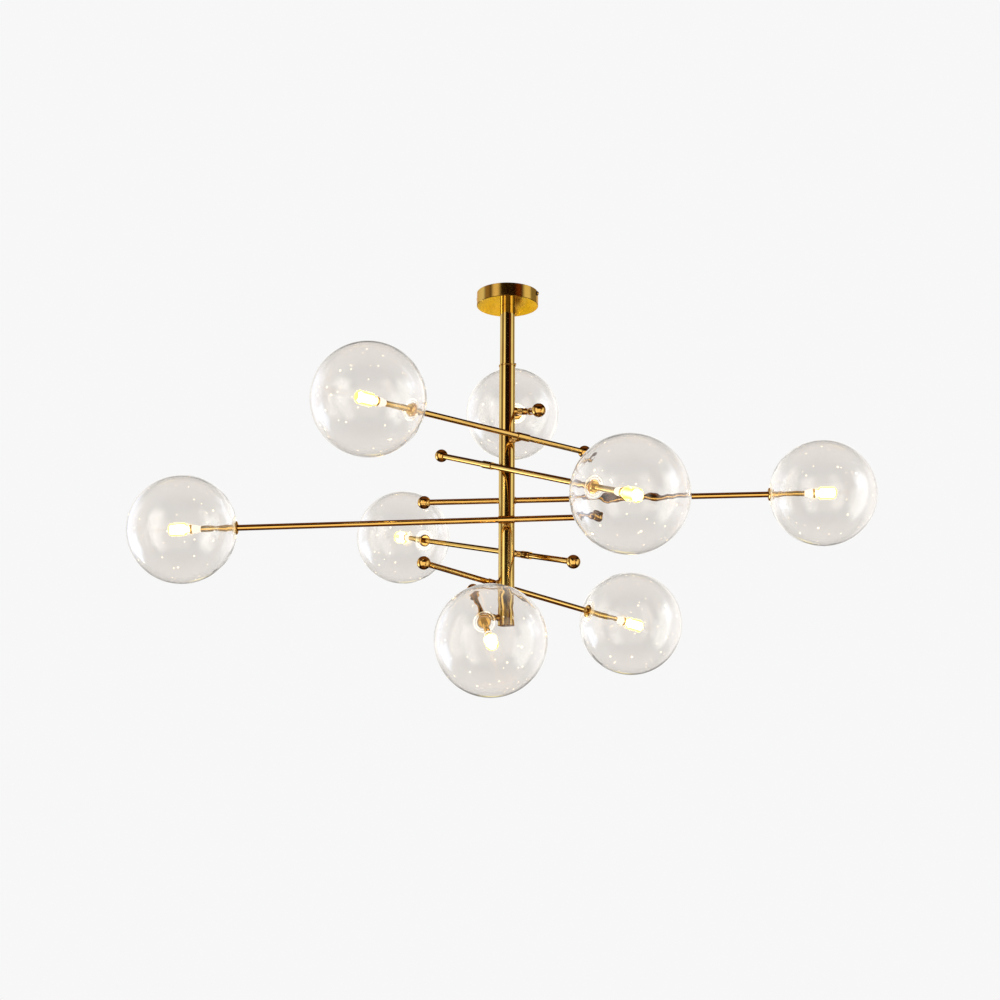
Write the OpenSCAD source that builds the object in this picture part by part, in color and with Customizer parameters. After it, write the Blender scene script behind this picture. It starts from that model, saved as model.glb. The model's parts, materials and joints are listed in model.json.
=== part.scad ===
// Branch chandelier: eight ball-ended tubes swivel on posts set round a straight stem.
// Each tube carries a clear glass globe. Millimetres, +Z up, ceiling plane at z = 0,
// and the stem runs down the Z axis. Seen along +Y it has the photographed outline.

/* [Ceiling fitting] */
// Outer diameter of the ceiling canopy
canopy_d = 118; // [100:1:150]
// Height of the canopy's side wall
canopy_h = 26; // [24:0.5:40]
// Thickness of the canopy's sheet metal
canopy_wall = 1.2; // [0.8:0.1:2]
// Chamfer round the canopy's lower edge
canopy_chamfer = 0.8; // [0.3:0.1:1]
// Heading of the ceiling bracket and of the canopy's two side screws
bracket_heading = -17; // [-90:1:90]
// Width of the ceiling bracket's strap
bracket_w = 22; // [16:1:28]
// Thickness of the bracket's steel
bracket_t = 2.5; // [1.5:0.5:3]
// How far the bracket's bent ears reach down
ear_drop = 12; // [10:1:16]
// Distance between the two ceiling screw holes in the bracket
mount_spacing = 70; // [50:1:76]
// Diameter of the ceiling screw holes
mount_hole_d = 5; // [4:0.5:6]
// Thread diameter of the canopy's side screws
side_screw_d = 4; // [3:0.5:5]
// Length of a side screw under its head
side_screw_len = 10; // [7:0.5:12]
// Head diameter of the side screws
side_head_d = 6.5; // [5.5:0.5:8]
// Head height of the side screws
side_head_t = 2.4; // [1.5:0.1:4]
// Depth of the side screws' axis below the ceiling
side_screw_drop = 5.5; // [5:0.5:9]
// Diameter of the nylon washers under the side screws
side_washer_d = 9; // [7:0.5:10]
// Thickness of the nylon washers under the side screws
side_washer_t = 1; // [0.6:0.1:2]

/* [Terminal block] */
// Length of the terminal block inside the canopy
block_l = 30; // [24:1:36]
// Width of the terminal block
block_w = 16; // [14:1:18]
// Height of the terminal block
block_h = 12; // [10:0.5:14]
// Distance of the terminal block from the stem axis
block_offset = 32; // [28:0.5:34]
// Spacing of the terminal block's three poles
pole_pitch = 9; // [7:0.5:9]
// Diameter of the wire ways through the block
pole_way_d = 4; // [3:0.5:5]

/* [Stem] */
// Diameter of the upper stem
upper_d = 28; // [25:0.5:32]
// Wall thickness of the upper stem
upper_wall = 1.5; // [1:0.1:2]
// Length of the upper stem, canopy to joint ring
upper_len = 119; // [60:1:400]
// Thickness of the threaded plug in the upper stem's top
plug_t = 10; // [6:1:16]
// Diameter of the lower stem, which carries the arms
lower_d = 30; // [27:0.5:34]
// Wall thickness of the lower stem
lower_wall = 2; // [1.2:0.1:3]
// Length of the lower stem below its lowest arm
stem_end = 14; // [12:1:60]
// Diameter of the joint ring between the two stems
ring_d = 32; // [30:0.5:37]
// Height of the joint ring
ring_h = 2.5; // [1.5:0.5:6]
// Reach of the stem coupling into each stem
coupling_reach = 20; // [12:1:30]
// Bore of the stem coupling, for the wires
coupling_bore = 15; // [9:0.5:17]
// Diameter of the joint's locking screw
lock_screw_d = 4; // [3:0.5:5]
// How far the locking screw stands out of the upper stem
lock_screw_proud = 3; // [2:0.5:6]
// Thickness of the bottom cap's visible disc
cap_t = 2; // [1:0.5:6]
// Reach of the bottom cap's spigot into the stem
cap_spigot = 6; // [3:0.5:7]
// Thread diameter of the hollow nipple that hangs the stem
nipple_d = 10; // [9:0.5:13]
// Bore of the hollow nipple
nipple_bore = 6.5; // [6:0.5:7.5]
// Width across the corners of the nipple's nut
nut_d = 19; // [16:0.5:24]
// Height of the nipple's nut
nut_t = 4.5; // [3:0.5:5]
// Thickness of the steel washer under the nut
nut_washer_t = 1.5; // [1:0.5:2]

/* [Pivots] */
// Distance from the stem axis to the axis of an arm's tube
pivot_reach = 44; // [42:0.5:70]
// Diameter of a pivot post's knurled barrel
post_d = 12; // [10:0.5:13]
// Diameter of a pivot post's foot against the stem
post_foot_d = 14; // [12:0.5:16]
// Thickness of a pivot post's foot
post_foot_t = 3; // [2:0.5:6]
// Thread diameter of a pivot post's root in the stem wall
post_root_d = 8; // [6:0.5:9]
// Diameter of the axle on a pivot post's end
axle_d = 7; // [6:0.5:8]
// Length of the axle inside the hub
axle_len = 7; // [5:0.5:7.5]
// Diameter of the friction washer between post and hub
friction_washer_d = 12.4; // [11:0.2:13]
// Thickness of the friction washer
friction_washer_t = 1; // [0.6:0.2:2]
// Diameter of the wire way through a post
post_way_d = 3; // [2:0.25:4]
// Radial clearance of an axle in its hub
run_gap = 0.05; // [0.02:0.01:0.1]
// Clearance between pieces that are fastened together
fit_gap = 0.05; // [0.02:0.01:0.1]

/* [Arms] */
// Diameter of an arm's tube
tube_d = 11; // [10.5:0.5:12]
// Wall thickness of an arm's tube
tube_wall = 1; // [0.6:0.1:1.2]
// Diameter of the hub sleeve round the tube
hub_d = 14; // [13:0.5:16]
// Length of the hub sleeve
hub_len = 30; // [20:1:44]
// Diameter of the hub's boss
boss_d = 12; // [11:0.5:12.5]
// Distance from the tube axis to the hub boss's face
boss_len = 14; // [13.5:0.5:20]
// Diameter of the grub screws in a hub
grub_d = 3; // [2:0.5:4]
// Diameter of the ball on the tube's short end
ball_d = 25; // [18:0.5:34]
// Depth of the tube in the ball, past the ball's centre
tube_in_ball = 4; // [0:0.5:6]
// Heading of each arm's globe round the stem, top arm first
arm_heading = [94.5, 221.5, 307, 357, 179.5, 121.5, 28, 278.5]; // [0:0.5:360]
// Upward tilt of each arm at rest
arm_tilt = [15.5, 0, -18, 1, -2, 13.5, -10, -28]; // [-35:0.5:20]
// Depth of each arm's pivot below the joint ring
arm_drop = [90, 150, 203, 254, 310, 363, 415, 484]; // [85:1:600]
// Distance from each arm's pivot to the centre of its globe
arm_reach = [405, 357, 411, 592, 594, 508, 304, 123]; // [123:1:620]
// Distance from each arm's pivot to the centre of its ball
ball_reach = [159, 162, 160, 159, 161, 159, 150, 152]; // [145:1:180]
// Side of the stem that each arm passes, 1 for left of its heading
pivot_side = [-1, 1, -1, 1, 1, -1, 1, -1]; // [-1, 1]

/* [Lamps] */
// Outer diameter of a glass globe
globe_d = 200; // [190:1:210]
// Thickness of the glass
glass_t = 2.2; // [1.5:0.1:4]
// Diameter of the flat land inside the globe's mouth
mouth_land_d = 42; // [40:1:60]
// Diameter of the hole in the globe's mouth
mouth_hole_d = 11; // [10:0.5:14]
// Diameter of the flange outside the glass
flange_d = 25; // [20:0.5:32]
// Thickness of the flange
flange_t = 2.5; // [1.5:0.5:5]
// Diameter of the round nut inside the glass
ring_nut_d = 19; // [15:0.5:26]
// Thickness of the round nut
ring_nut_t = 4; // [3:0.5:8]
// Thread diameter of the hollow screw that joins tube, flange and lamp stem
joiner_d = 8.4; // [7:0.1:8.4]
// Bore of the hollow screw
joiner_bore = 5; // [4.5:0.1:5.5]
// Depth of the hollow screw in the tube and in the lamp stem
joiner_reach = 12; // [8:1:16]
// Diameter of the ceramic lampholder
holder_d = 16; // [14:0.5:20]
// Length of the ceramic lampholder
holder_len = 20; // [16:1:26]
// Distance between the bulb's two pins
pin_spacing = 9; // [8:0.5:10]
// Diameter of the bulb's pins
pin_d = 2.2; // [1.6:0.1:2.6]
// Length of the bulb's pins
pin_len = 11; // [8:0.5:12]
// Diameter of the bulb
bulb_d = 24; // [15:0.5:26]
// Length of the bulb outside its holder
bulb_len = 40; // [34:1:50]
// How far the bulb's middle lies beyond the globe's centre
bulb_shift = 5; // [0:0.5:10]
// Diameter of each insulated lead
lead_d = 1.4; // [1:0.1:1.6]

/* [Hidden] */
$fn = 64;
eps = 0.5;                     // how far a cutter runs past the face it cuts
ARMS = [0 : len(arm_heading) - 1];
ARM_PIECES = ["rod", "hub", "fitter", "holder", "bulb", "globe"];
function piece_name(i, piece) = str("arm_", i + 1, "_", piece);

// Heights
canopy_floor = -canopy_h;                       // underside of the canopy
plate_top = canopy_floor + canopy_wall;         // top of the canopy's bottom plate
joint_z = canopy_floor - upper_len;             // top of the joint ring
lower_top = joint_z - ring_h;
lower_end = joint_z - max(arm_drop) - stem_end; // lower end of the stem tube
nipple_top = plate_top + nut_washer_t + nut_t + 3;
nipple_low = canopy_floor - plug_t;
// Radii
canopy_inner_r = canopy_d / 2 - canopy_wall;
upper_bore = upper_d - 2 * upper_wall;
lower_bore = lower_d - 2 * lower_wall;
tube_bore = tube_d - 2 * tube_wall;
globe_r = globe_d / 2;
cavity_r = globe_r - glass_t;
// Along a pivot, measured from the stem axis
boss_face = pivot_reach - boss_len;
washer_start = boss_face - fit_gap - friction_washer_t;
post_root_end = lower_bore / 2 - 2;
// Along an arm, measured from the globe's centre towards the hub
seat_x = sqrt(pow(globe_r, 2) - pow(flange_d / 2 + 0.1, 2));   // flat that the flange rests on
land_x = sqrt(pow(cavity_r, 2) - pow(mouth_land_d / 2, 2));    // flat land inside the glass
nut_x = land_x - fit_gap;                                      // face of the round nut on that land
holder_front = bulb_len / 2 - bulb_shift;
holder_back = holder_front + holder_len;
// Bracket
ear_face = sqrt(pow(canopy_inner_r, 2) - pow(bracket_w / 2, 2)) - 0.2;  // outer face of an ear
loom_d = nipple_bore - 1.5;
branch_d = post_way_d - 0.8;
loom_z = nipple_top + loom_d / 2 + 1;           // height of the loom's run to the terminal block

// Finishes
brass_c = [0.83, 0.62, 0.22];
satin_c = [0.80, 0.60, 0.18];
steel_c = [0.72, 0.73, 0.75];
nylon_c = [0.08, 0.08, 0.08];
ceramic_c = [0.93, 0.92, 0.88];
bulb_c = [1.00, 0.93, 0.70];
glass_c = [0.92, 0.91, 0.88, 0.3];

// Placement
function pivot_z(i) = joint_z - arm_drop[i];
// Along a post: origin on the stem axis, +Z outward along the pivot
module at_post(i) {
    translate([0, 0, pivot_z(i)]) rotate([0, 0, arm_heading[i] + 90 * pivot_side[i]])
        rotate([0, 90, 0]) children();
}
// On an arm: origin where tube and pivot axes cross, +X towards the globe
module at_arm(i) {
    translate([0, 0, pivot_z(i)]) rotate([0, 0, arm_heading[i]])
        translate([0, pivot_side[i] * pivot_reach, 0]) rotate([0, -arm_tilt[i], 0]) children();
}
// At a lamp: origin at the globe's centre, +X back towards the hub
module at_lamp(i) at_arm(i) translate([arm_reach[i], 0, 0]) rotate([0, 0, 180]) children();

// A round bar along +X from x0 to x1
module bar(d, x0, x1) translate([x0, 0, 0]) rotate([0, 90, 0]) cylinder(d = d, h = x1 - x0);
// The same bar, drilled through
module pipe(d, bore, x0, x1) difference() {
    bar(d, x0, x1);
    bar(bore, x0 - eps, x1 + eps);
}
// Two copies, opposite each other along the bracket
module both_ends() for (turn = [0, 180]) rotate([0, 0, bracket_heading + turn]) children();

// Ceiling fitting
module ceiling_bracket() color(steel_c) difference() {
    rotate([0, 0, bracket_heading]) union() {
        translate([-ear_face, -bracket_w / 2, -bracket_t]) cube([2 * ear_face, bracket_w, bracket_t]);
        for (x = [-ear_face, ear_face - bracket_t]) {
            translate([x, -bracket_w / 2, -ear_drop]) cube([bracket_t, bracket_w, ear_drop]);
        }
    }
    both_ends() {
        translate([mount_spacing / 2, 0, -bracket_t - eps])
            cylinder(d = mount_hole_d, h = bracket_t + 2 * eps);
        translate([0, 0, -side_screw_drop])
            bar(side_screw_d + 2 * fit_gap, ear_face - bracket_t - eps, ear_face + eps);
    }
}

module canopy() color(satin_c) difference() {
    translate([0, 0, canopy_floor]) union() {
        cylinder(d1 = canopy_d - 2 * canopy_chamfer, d2 = canopy_d, h = canopy_chamfer);
        translate([0, 0, canopy_chamfer]) cylinder(d = canopy_d, h = canopy_h - canopy_chamfer);
    }
    translate([0, 0, plate_top]) cylinder(r = canopy_inner_r, h = canopy_h);
    translate([0, 0, canopy_floor - eps]) cylinder(d = nipple_d + 2 * fit_gap, h = canopy_wall + 2 * eps);
    both_ends() {
        slot_w = side_screw_d + 0.6;
        translate([canopy_inner_r - 2, -slot_w / 2, -side_screw_drop])
            cube([canopy_wall + 4, slot_w, side_screw_drop + eps]);
        translate([0, 0, -side_screw_drop]) bar(slot_w, canopy_inner_r - 2, canopy_d / 2 + 2);
    }
}

module canopy_screws() color(brass_c) both_ends() translate([0, 0, -side_screw_drop]) {
    seat = canopy_d / 2 + side_washer_t + fit_gap;
    rotate([0, 90, 0]) rotate_extrude() polygon([
        [0, seat - side_screw_len], [side_screw_d / 2, seat - side_screw_len], [side_screw_d / 2, seat],
        [side_head_d / 2, seat], [side_head_d / 2, seat + side_head_t * 0.4],
        [side_head_d * 0.36, seat + side_head_t * 0.85], [side_head_d * 0.15, seat + side_head_t],
        [0, seat + side_head_t]]);
}

module terminal_block() color(ceramic_c) at_block() difference() {
    translate([-block_l / 2, -block_w / 2, 0]) cube([block_l, block_w, block_h]);
    for (pole = [-1 : 1]) translate([pole * pole_pitch, 0, 0]) {
        rotate([90, 0, 0]) translate([0, block_h / 2, -block_w / 2 - eps])
            cylinder(d = pole_way_d, h = block_w + 2 * eps);
        for (y = [-block_w / 4, block_w / 4]) {
            translate([0, y, block_h - 3]) cylinder(d = pole_way_d, h = 3 + eps);
        }
    }
}
module at_block() rotate([0, 0, bracket_heading]) translate([0, block_offset, plate_top]) children();

module stem_nipple() color(steel_c) {
    translate([0, 0, nipple_low]) difference() {
        cylinder(d = nipple_d, h = nipple_top - nipple_low);
        translate([0, 0, -eps]) cylinder(d = nipple_bore, h = nipple_top - nipple_low + 2 * eps);
    }
    translate([0, 0, plate_top]) difference() {
        cylinder(d = nut_d + 2, h = nut_washer_t);
        translate([0, 0, -eps]) cylinder(d = nipple_d + 2 * fit_gap, h = nut_washer_t + 2 * eps);
    }
    translate([0, 0, plate_top + nut_washer_t]) difference() {
        cylinder(d = nut_d, h = nut_t, $fn = 6);
        translate([0, 0, -eps]) cylinder(d = nipple_d + 2 * fit_gap, h = nut_t + 2 * eps);
    }
}

// Stem
module upper_stem() color(brass_c) translate([0, 0, joint_z]) difference() {
    cylinder(d = upper_d, h = upper_len);
    translate([0, 0, -eps]) cylinder(d = upper_bore, h = upper_len - plug_t + eps);
    cylinder(d = nipple_d + 2 * fit_gap, h = upper_len + eps);
    translate([0, 0, ring_h]) bar(lock_screw_d + 2 * fit_gap, 0, upper_d);
}

module stem_coupling() color(brass_c) {
    difference() {
        union() {
            translate([0, 0, lower_top - coupling_reach])
                cylinder(d = lower_bore - 2 * fit_gap, h = coupling_reach + ring_h / 2);
            translate([0, 0, lower_top]) cylinder(d = ring_d, h = ring_h);
            translate([0, 0, joint_z - ring_h / 2])
                cylinder(d = upper_bore - 2 * fit_gap, h = coupling_reach + ring_h / 2);
        }
        translate([0, 0, lower_top - coupling_reach - eps])
            cylinder(d = coupling_bore, h = 2 * coupling_reach + ring_h + 2 * eps);
    }
    // locking screw, its tip against the coupling
    translate([0, 0, joint_z + ring_h]) bar(lock_screw_d, upper_bore / 2, upper_d / 2 + lock_screw_proud);
}

module lower_stem() color(brass_c) difference() {
    translate([0, 0, lower_end]) cylinder(d = lower_d, h = lower_top - lower_end);
    translate([0, 0, lower_end - eps]) cylinder(d = lower_bore, h = lower_top - lower_end + 2 * eps);
    for (i = ARMS) at_post(i) cylinder(d = post_root_d + 2 * fit_gap, h = lower_d);
}

module bottom_cap() color(brass_c) {
    translate([0, 0, lower_end - cap_t]) cylinder(d = lower_d, h = cap_t);
    translate([0, 0, lower_end - eps]) cylinder(d = lower_bore - 2 * fit_gap, h = cap_spigot + eps);
}

// Pivots
module pivot_posts() color(brass_c) for (i = ARMS) difference() {
    at_post(i) union() {
        translate([0, 0, post_root_end]) cylinder(d = post_root_d, h = lower_d / 2 - post_root_end + 1);
        cylinder_from(post_foot_d, lower_d / 2 - 2, lower_d / 2 + post_foot_t);
        cylinder_from(post_d, lower_d / 2, washer_start);
        cylinder_from(axle_d, washer_start - eps, boss_face + axle_len);
    }
    stem_skin(i);
    at_post(i) cylinder(d = post_way_d, h = pivot_reach);
}
// A round bar along +Z from z0 to z1
module cylinder_from(d, z0, z1) translate([0, 0, z0]) cylinder(d = d, h = z1 - z0);
// The stem wall near a post, less the threaded hole: it shapes the post's foot
module stem_skin(i) difference() {
    translate([0, 0, pivot_z(i) - post_foot_d]) cylinder(d = lower_d + 2 * fit_gap, h = 2 * post_foot_d);
    at_post(i) cylinder(d = post_root_d, h = lower_d);
}

module nylon_washers() color(nylon_c) {
    for (i = ARMS) at_post(i) difference() {
        cylinder_from(friction_washer_d, washer_start, washer_start + friction_washer_t);
        cylinder_from(axle_d + 2 * fit_gap, washer_start - eps, boss_face + eps);
    }
    both_ends() translate([0, 0, -side_screw_drop])
        pipe(side_washer_d, side_screw_d + 2 * fit_gap, canopy_d / 2 + fit_gap / 2,
             canopy_d / 2 + fit_gap / 2 + side_washer_t);
}

module wiring_loom() color(ceramic_c) {
    run = block_offset - block_w / 2 - fit_gap;
    union() {
        translate([0, 0, lower_end + cap_spigot + 2])
            cylinder(d = loom_d, h = loom_z + loom_d / 2 - lower_end - cap_spigot - 2);
        translate([0, 0, loom_z]) rotate([0, 0, bracket_heading + 90]) bar(loom_d - 1, 0, run);
        for (i = ARMS) at_post(i) cylinder(d = branch_d, h = boss_face + axle_len - 0.5);
    }
}

// Arms
module arm_rod(i) color(brass_c) at_arm(i) {
    tube_start = -ball_reach[i] - tube_in_ball;
    difference() {
        pipe(tube_d, tube_bore, tube_start, arm_reach[i] - seat_x - flange_t);
        rotate([90 * pivot_side[i], 0, 0]) cylinder(d = post_way_d, h = tube_d);
    }
    difference() {
        translate([-ball_reach[i], 0, 0]) sphere(d = ball_d);
        bar(tube_d + 2 * fit_gap, tube_start - fit_gap, -ball_reach[i] + ball_d);
    }
}

// Sleeve round the tube, with the boss that turns on the axle, and two grub screws
module arm_hub(i) color(brass_c) at_arm(i) {
    grub_x = hub_len / 4;
    grub_y = boss_len - axle_len / 2;
    difference() {
        union() {
            bar(hub_d, -hub_len / 2, hub_len / 2);
            towards_post(i) cylinder(d = boss_d, h = boss_len);
        }
        bar(tube_d + 2 * fit_gap, -hub_len / 2 - eps, hub_len / 2 + eps);
        towards_post(i) cylinder_from(axle_d + 2 * run_gap, boss_len - axle_len - 0.3, boss_len + eps);
        towards_post(i) cylinder(d = post_way_d, h = boss_len);
        translate([grub_x, 0, -hub_d]) cylinder(d = grub_d + 2 * fit_gap, h = hub_d);
        towards_post(i) translate([0, 0, grub_y]) rotate([0, 90, 0])
            cylinder(d = grub_d + 2 * fit_gap, h = boss_d);
    }
    translate([grub_x, 0, -hub_d / 2 + 0.2])
        cylinder(d = grub_d, h = (hub_d - tube_d) / 2 - fit_gap - 0.2);
    towards_post(i) translate([0, 0, grub_y]) rotate([0, 90, 0])
        cylinder_from(grub_d, axle_d / 2 + run_gap, boss_d / 2 - 0.2);
}
module towards_post(i) rotate([90 * pivot_side[i], 0, 0]) children();

// Flange, hollow screw, round nut and lamp stem, which clamp the glass
module arm_fitter(i) color(brass_c) at_lamp(i) {
    pipe(flange_d, joiner_d + 2 * fit_gap, seat_x, seat_x + flange_t);
    pipe(joiner_d, joiner_bore, nut_x - ring_nut_t - joiner_reach, seat_x + flange_t + joiner_reach);
    pipe(ring_nut_d, joiner_d + 2 * fit_gap, nut_x - ring_nut_t, nut_x);
    pipe(tube_d, tube_bore, holder_back, nut_x - ring_nut_t - fit_gap);
}

module arm_holder(i) color(ceramic_c) at_lamp(i) {
    lead_y = lead_d / 2 + 0.5;
    slot_h = pin_d + 1;
    difference() {
        bar(holder_d, holder_front, holder_back);
        for (side = [-1, 1]) {
            translate([holder_front - eps, side * pin_spacing / 2 - slot_h / 2, -slot_h / 2])
                cube([pin_len + 1 + eps, slot_h, slot_h]);
            translate([0, side * lead_y, 0])
                bar(lead_d + 2 * fit_gap, holder_back - 4 - fit_gap, holder_back + eps);
        }
    }
    for (side = [-1, 1]) translate([0, side * lead_y, 0]) bar(lead_d, holder_back - 4, arm_reach[i]);
}

module arm_bulb(i) color(bulb_c) at_lamp(i) {
    dome_r = bulb_d * 0.6;
    neck_d = bulb_d * 0.6;
    tip = holder_front - bulb_len;
    union() {
        bar(neck_d, holder_front - 5, holder_front);
        translate([holder_front - 4, 0, 0]) rotate([0, -90, 0]) cylinder(d1 = neck_d, d2 = bulb_d, h = 5);
        intersection() {
            bar(bulb_d, tip, holder_front - 9);
            translate([tip + dome_r, 0, 0]) union() {
                sphere(r = dome_r);
                bar(bulb_d + 2, 0, bulb_len);
            }
        }
        for (side = [-1, 1]) translate([0, side * pin_spacing / 2, 0])
            bar(pin_d, holder_front - 2, holder_front + pin_len);
    }
}

// Blown globe: a flat land thickens the glass round its mouth
module arm_globe(i) color(glass_c) at_lamp(i) rotate([0, 90, 0]) rotate_extrude($fn = 128) difference() {
    intersection() {
        circle(r = globe_r);
        translate([0, -globe_r]) square([globe_r, globe_r + seat_x]);
    }
    intersection() {
        circle(r = cavity_r);
        translate([-eps, -globe_r]) square([globe_r, globe_r + land_x]);
    }
    translate([-eps, 0]) square([mouth_hole_d / 2 + eps, globe_d]);
}

ceiling_bracket();
canopy();
canopy_screws();
terminal_block();
stem_nipple();
upper_stem();
stem_coupling();
lower_stem();
bottom_cap();
pivot_posts();
nylon_washers();
wiring_loom();
for (i = ARMS) {
    arm_rod(i);
    arm_hub(i);
    arm_fitter(i);
    arm_holder(i);
    arm_bulb(i);
    arm_globe(i);
}
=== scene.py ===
"""Branch chandelier: finishes, turned brass, blown glass, lit lamps, studio and camera."""
import json
import math

import bmesh
import bpy
from bpy.props import FloatProperty, FloatVectorProperty, PointerProperty
from mathutils import Matrix, Vector


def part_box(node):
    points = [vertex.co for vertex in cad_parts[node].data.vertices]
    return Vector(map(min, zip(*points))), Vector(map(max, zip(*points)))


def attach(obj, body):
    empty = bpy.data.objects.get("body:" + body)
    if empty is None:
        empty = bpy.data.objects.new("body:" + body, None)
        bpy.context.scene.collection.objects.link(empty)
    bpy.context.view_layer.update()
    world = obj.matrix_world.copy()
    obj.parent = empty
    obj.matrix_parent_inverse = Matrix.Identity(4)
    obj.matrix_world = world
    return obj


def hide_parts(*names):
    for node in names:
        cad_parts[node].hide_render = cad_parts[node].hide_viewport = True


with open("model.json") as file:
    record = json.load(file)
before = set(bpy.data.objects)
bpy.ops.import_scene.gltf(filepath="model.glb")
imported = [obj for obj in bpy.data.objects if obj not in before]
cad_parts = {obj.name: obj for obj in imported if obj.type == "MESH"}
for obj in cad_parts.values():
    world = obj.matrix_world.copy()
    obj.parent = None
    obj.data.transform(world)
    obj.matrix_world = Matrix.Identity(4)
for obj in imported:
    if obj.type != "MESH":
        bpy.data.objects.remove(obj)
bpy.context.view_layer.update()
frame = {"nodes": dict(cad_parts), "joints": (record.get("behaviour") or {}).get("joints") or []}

bl_info = {
    "name": "Branch chandelier",
    "version": (1, 0, 0),
    "blender": (4, 5, 0),
    "location": "3D View > Sidebar > Chandelier",
    "description": "Dresses a brass and glass branch chandelier and sets up its studio",
    "category": "Object",
}

MM = 0.001
CLEARANCE = 0.05 * MM    # between pieces that fit in or on each other
BROKEN_EDGE = 0.1 * MM   # rounding of turned edges that are given no other
UP = Vector((0, 0, 1))
FLIP = Matrix.Rotation(math.pi, 4, "Y")          # turns a lathed piece end for end
ALONG_X = Matrix.Rotation(math.radians(90), 4, "Y")   # lays a lathed piece's axis along +X

# The studio as the metal mirrors it. Azimuth is from -Y towards +X, elevation is up, both in degrees:
# azimuth, half width, elevation, half height, softness of the edges, light, how much stronger the light
# shows in the glass, how much of it is left after a second bounce, colour
PANEL_ANGLES = ("Azimuth", "Half Width", "Elevation", "Half Height", "Softness")
ROOM_DARK = (0.012, 0.006, 0.004)
ROOM_PANELS = [
    (-45, 14, -14, 36, 9, 1.5, 2.2, 1.0, (1.0, 0.98, 0.93)),      # left window
    (80, 18, -8, 34, 9, 1.05, 4.2, 1.0, (0.97, 1.0, 0.98)),       # right window
    (-120, 24, 11, 21, 9, 1.0, 0.9, 1.0, (0.85, 0.95, 1.2)),      # pale wall behind, on the left
    (-113, 16, -14, 13, 6, 3.2, 0.3, 1.0, (0.85, 1.0, 1.25)),     # the same wall, lit lower down
    (60, 10, -16, 18, 6, 1.9, 0.6, 1.0, (0.97, 1.0, 0.98)),       # right window's sill
    (126, 26, 5, 25, 10, 0.28, 3.2, 1.0, (1.0, 0.96, 0.95)),      # greyer wall behind, on the right
    (180, 42, 14, 20, 8, 1.0, 0.6, 1.0, (1.0, 0.98, 0.95)),       # backdrop
    (180, 5, -20, 5, 4, 1.0, 0.0, 1.0, (1.35, 1.08, 0.12)),       # golden light on the canopy's underside
    (0, 34, -23, 28, 6, 1.3, 0.1, 0.12, (1.0, 0.92, 0.75)),       # lit floor in front
    (-84, 14, 0, 40, 10, 0.30, 1.0, 1.0, (1.0, 0.75, 0.50)),      # brown gap on the left
    (44, 11, 8, 40, 10, 0.14, 1.0, 1.0, (1.0, 0.25, 0.05)),       # red gap on the right
    (0, 180, 80, 28, 12, 0.15, 1.5, 1.0, (1.0, 0.48, 0.24)),      # ceiling
    (0, 180, -80, 20, 8, 0.12, 1.5, 1.0, (1.0, 0.45, 0.22)),      # floor below
]


# Sizes and colours that a user would change

def length(name, description, millimetres):
    """A length property whose default is given in millimetres."""
    return FloatProperty(name=name, description=description, default=millimetres * MM, min=0,
                         unit="LENGTH", subtype="DISTANCE", precision=4)


def colour(name, description, rgb):
    """A linear colour property."""
    return FloatVectorProperty(name=name, description=description, default=rgb, size=3, min=0, max=1,
                               subtype="COLOR")


def angle(name, description, degrees):
    """An angle property whose default is given in degrees."""
    return FloatProperty(name=name, description=description, default=math.radians(degrees), subtype="ANGLE")


class CanopySizes(bpy.types.PropertyGroup):
    """Sizes of the ceiling fitting."""
    wall: length("Sheet", "Thickness of the canopy's sheet", 1.2)
    lip: length("Lip", "Chamfer round the canopy's lower edge", 0.8)
    screw_drop: length("Side screw drop", "Depth of the side screws' axis below the ceiling", 5.5)
    slot: length("Slot", "Width of the slot for a side screw", 4.6)
    heading: angle("Heading", "Heading of the bracket and the side screws", -17)
    hole: length("Centre hole", "Diameter of the hole for the nipple", 10.1)
    screw: length("Side screw", "Diameter of a side screw's shank", 3.9)
    screw_length: length("Side screw length", "Length of a side screw under its head", 9.9)
    screw_head: length("Side screw head", "Diameter of a side screw's head", 6.4)
    screw_crown: length("Side screw crown", "Height of a side screw's head", 2.4)
    screw_slot: length("Screwdriver slot", "Width of the slot in a side screw's head", 0.9)
    washer: length("Screw washer", "Diameter of a side screw's nylon washer", 9)
    washer_height: length("Screw washer height", "Thickness of a side screw's washer", 1)
    pole_pitch: length("Pole pitch", "Distance between the terminal block's poles", 9)
    clamp: length("Clamp", "Diameter of a brass sleeve in the terminal block", 3.8)
    clamp_bore: length("Clamp bore", "Bore of a brass sleeve in the terminal block", 2.6)
    clamp_length: length("Clamp length", "Length of a brass sleeve in the terminal block", 15.2)
    clamp_screw: length("Clamp screw", "Diameter of a screw in the terminal block", 3.6)


class StemSizes(bpy.types.PropertyGroup):
    """Sizes of the stem."""
    upper_wall: length("Upper wall", "Wall of the upper stem", 1.5)
    lower_wall: length("Lower wall", "Wall of the lower stem", 2.0)
    lock_rise: length("Locking screw rise", "Height of the locking screw's axis above the joint ring", 2.5)
    lock: length("Locking screw", "Diameter of the locking screw", 3.9)
    lock_key: length("Locking screw key", "Width of the hexagon in the locking screw", 2)
    ring_width: length("Ring width", "Diameter of the joint ring", 32)
    coupling: length("Coupling", "Bore of the coupling inside the joint", 15)
    edge: length("Edge", "Rounding of the tubes' ends", 0.35)
    cap: length("Cap", "Thickness of the bottom cap's disc", 2.0)
    cap_step: length("Cap step", "How far the cap's disc stands out past its plug", 2.1)


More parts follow.
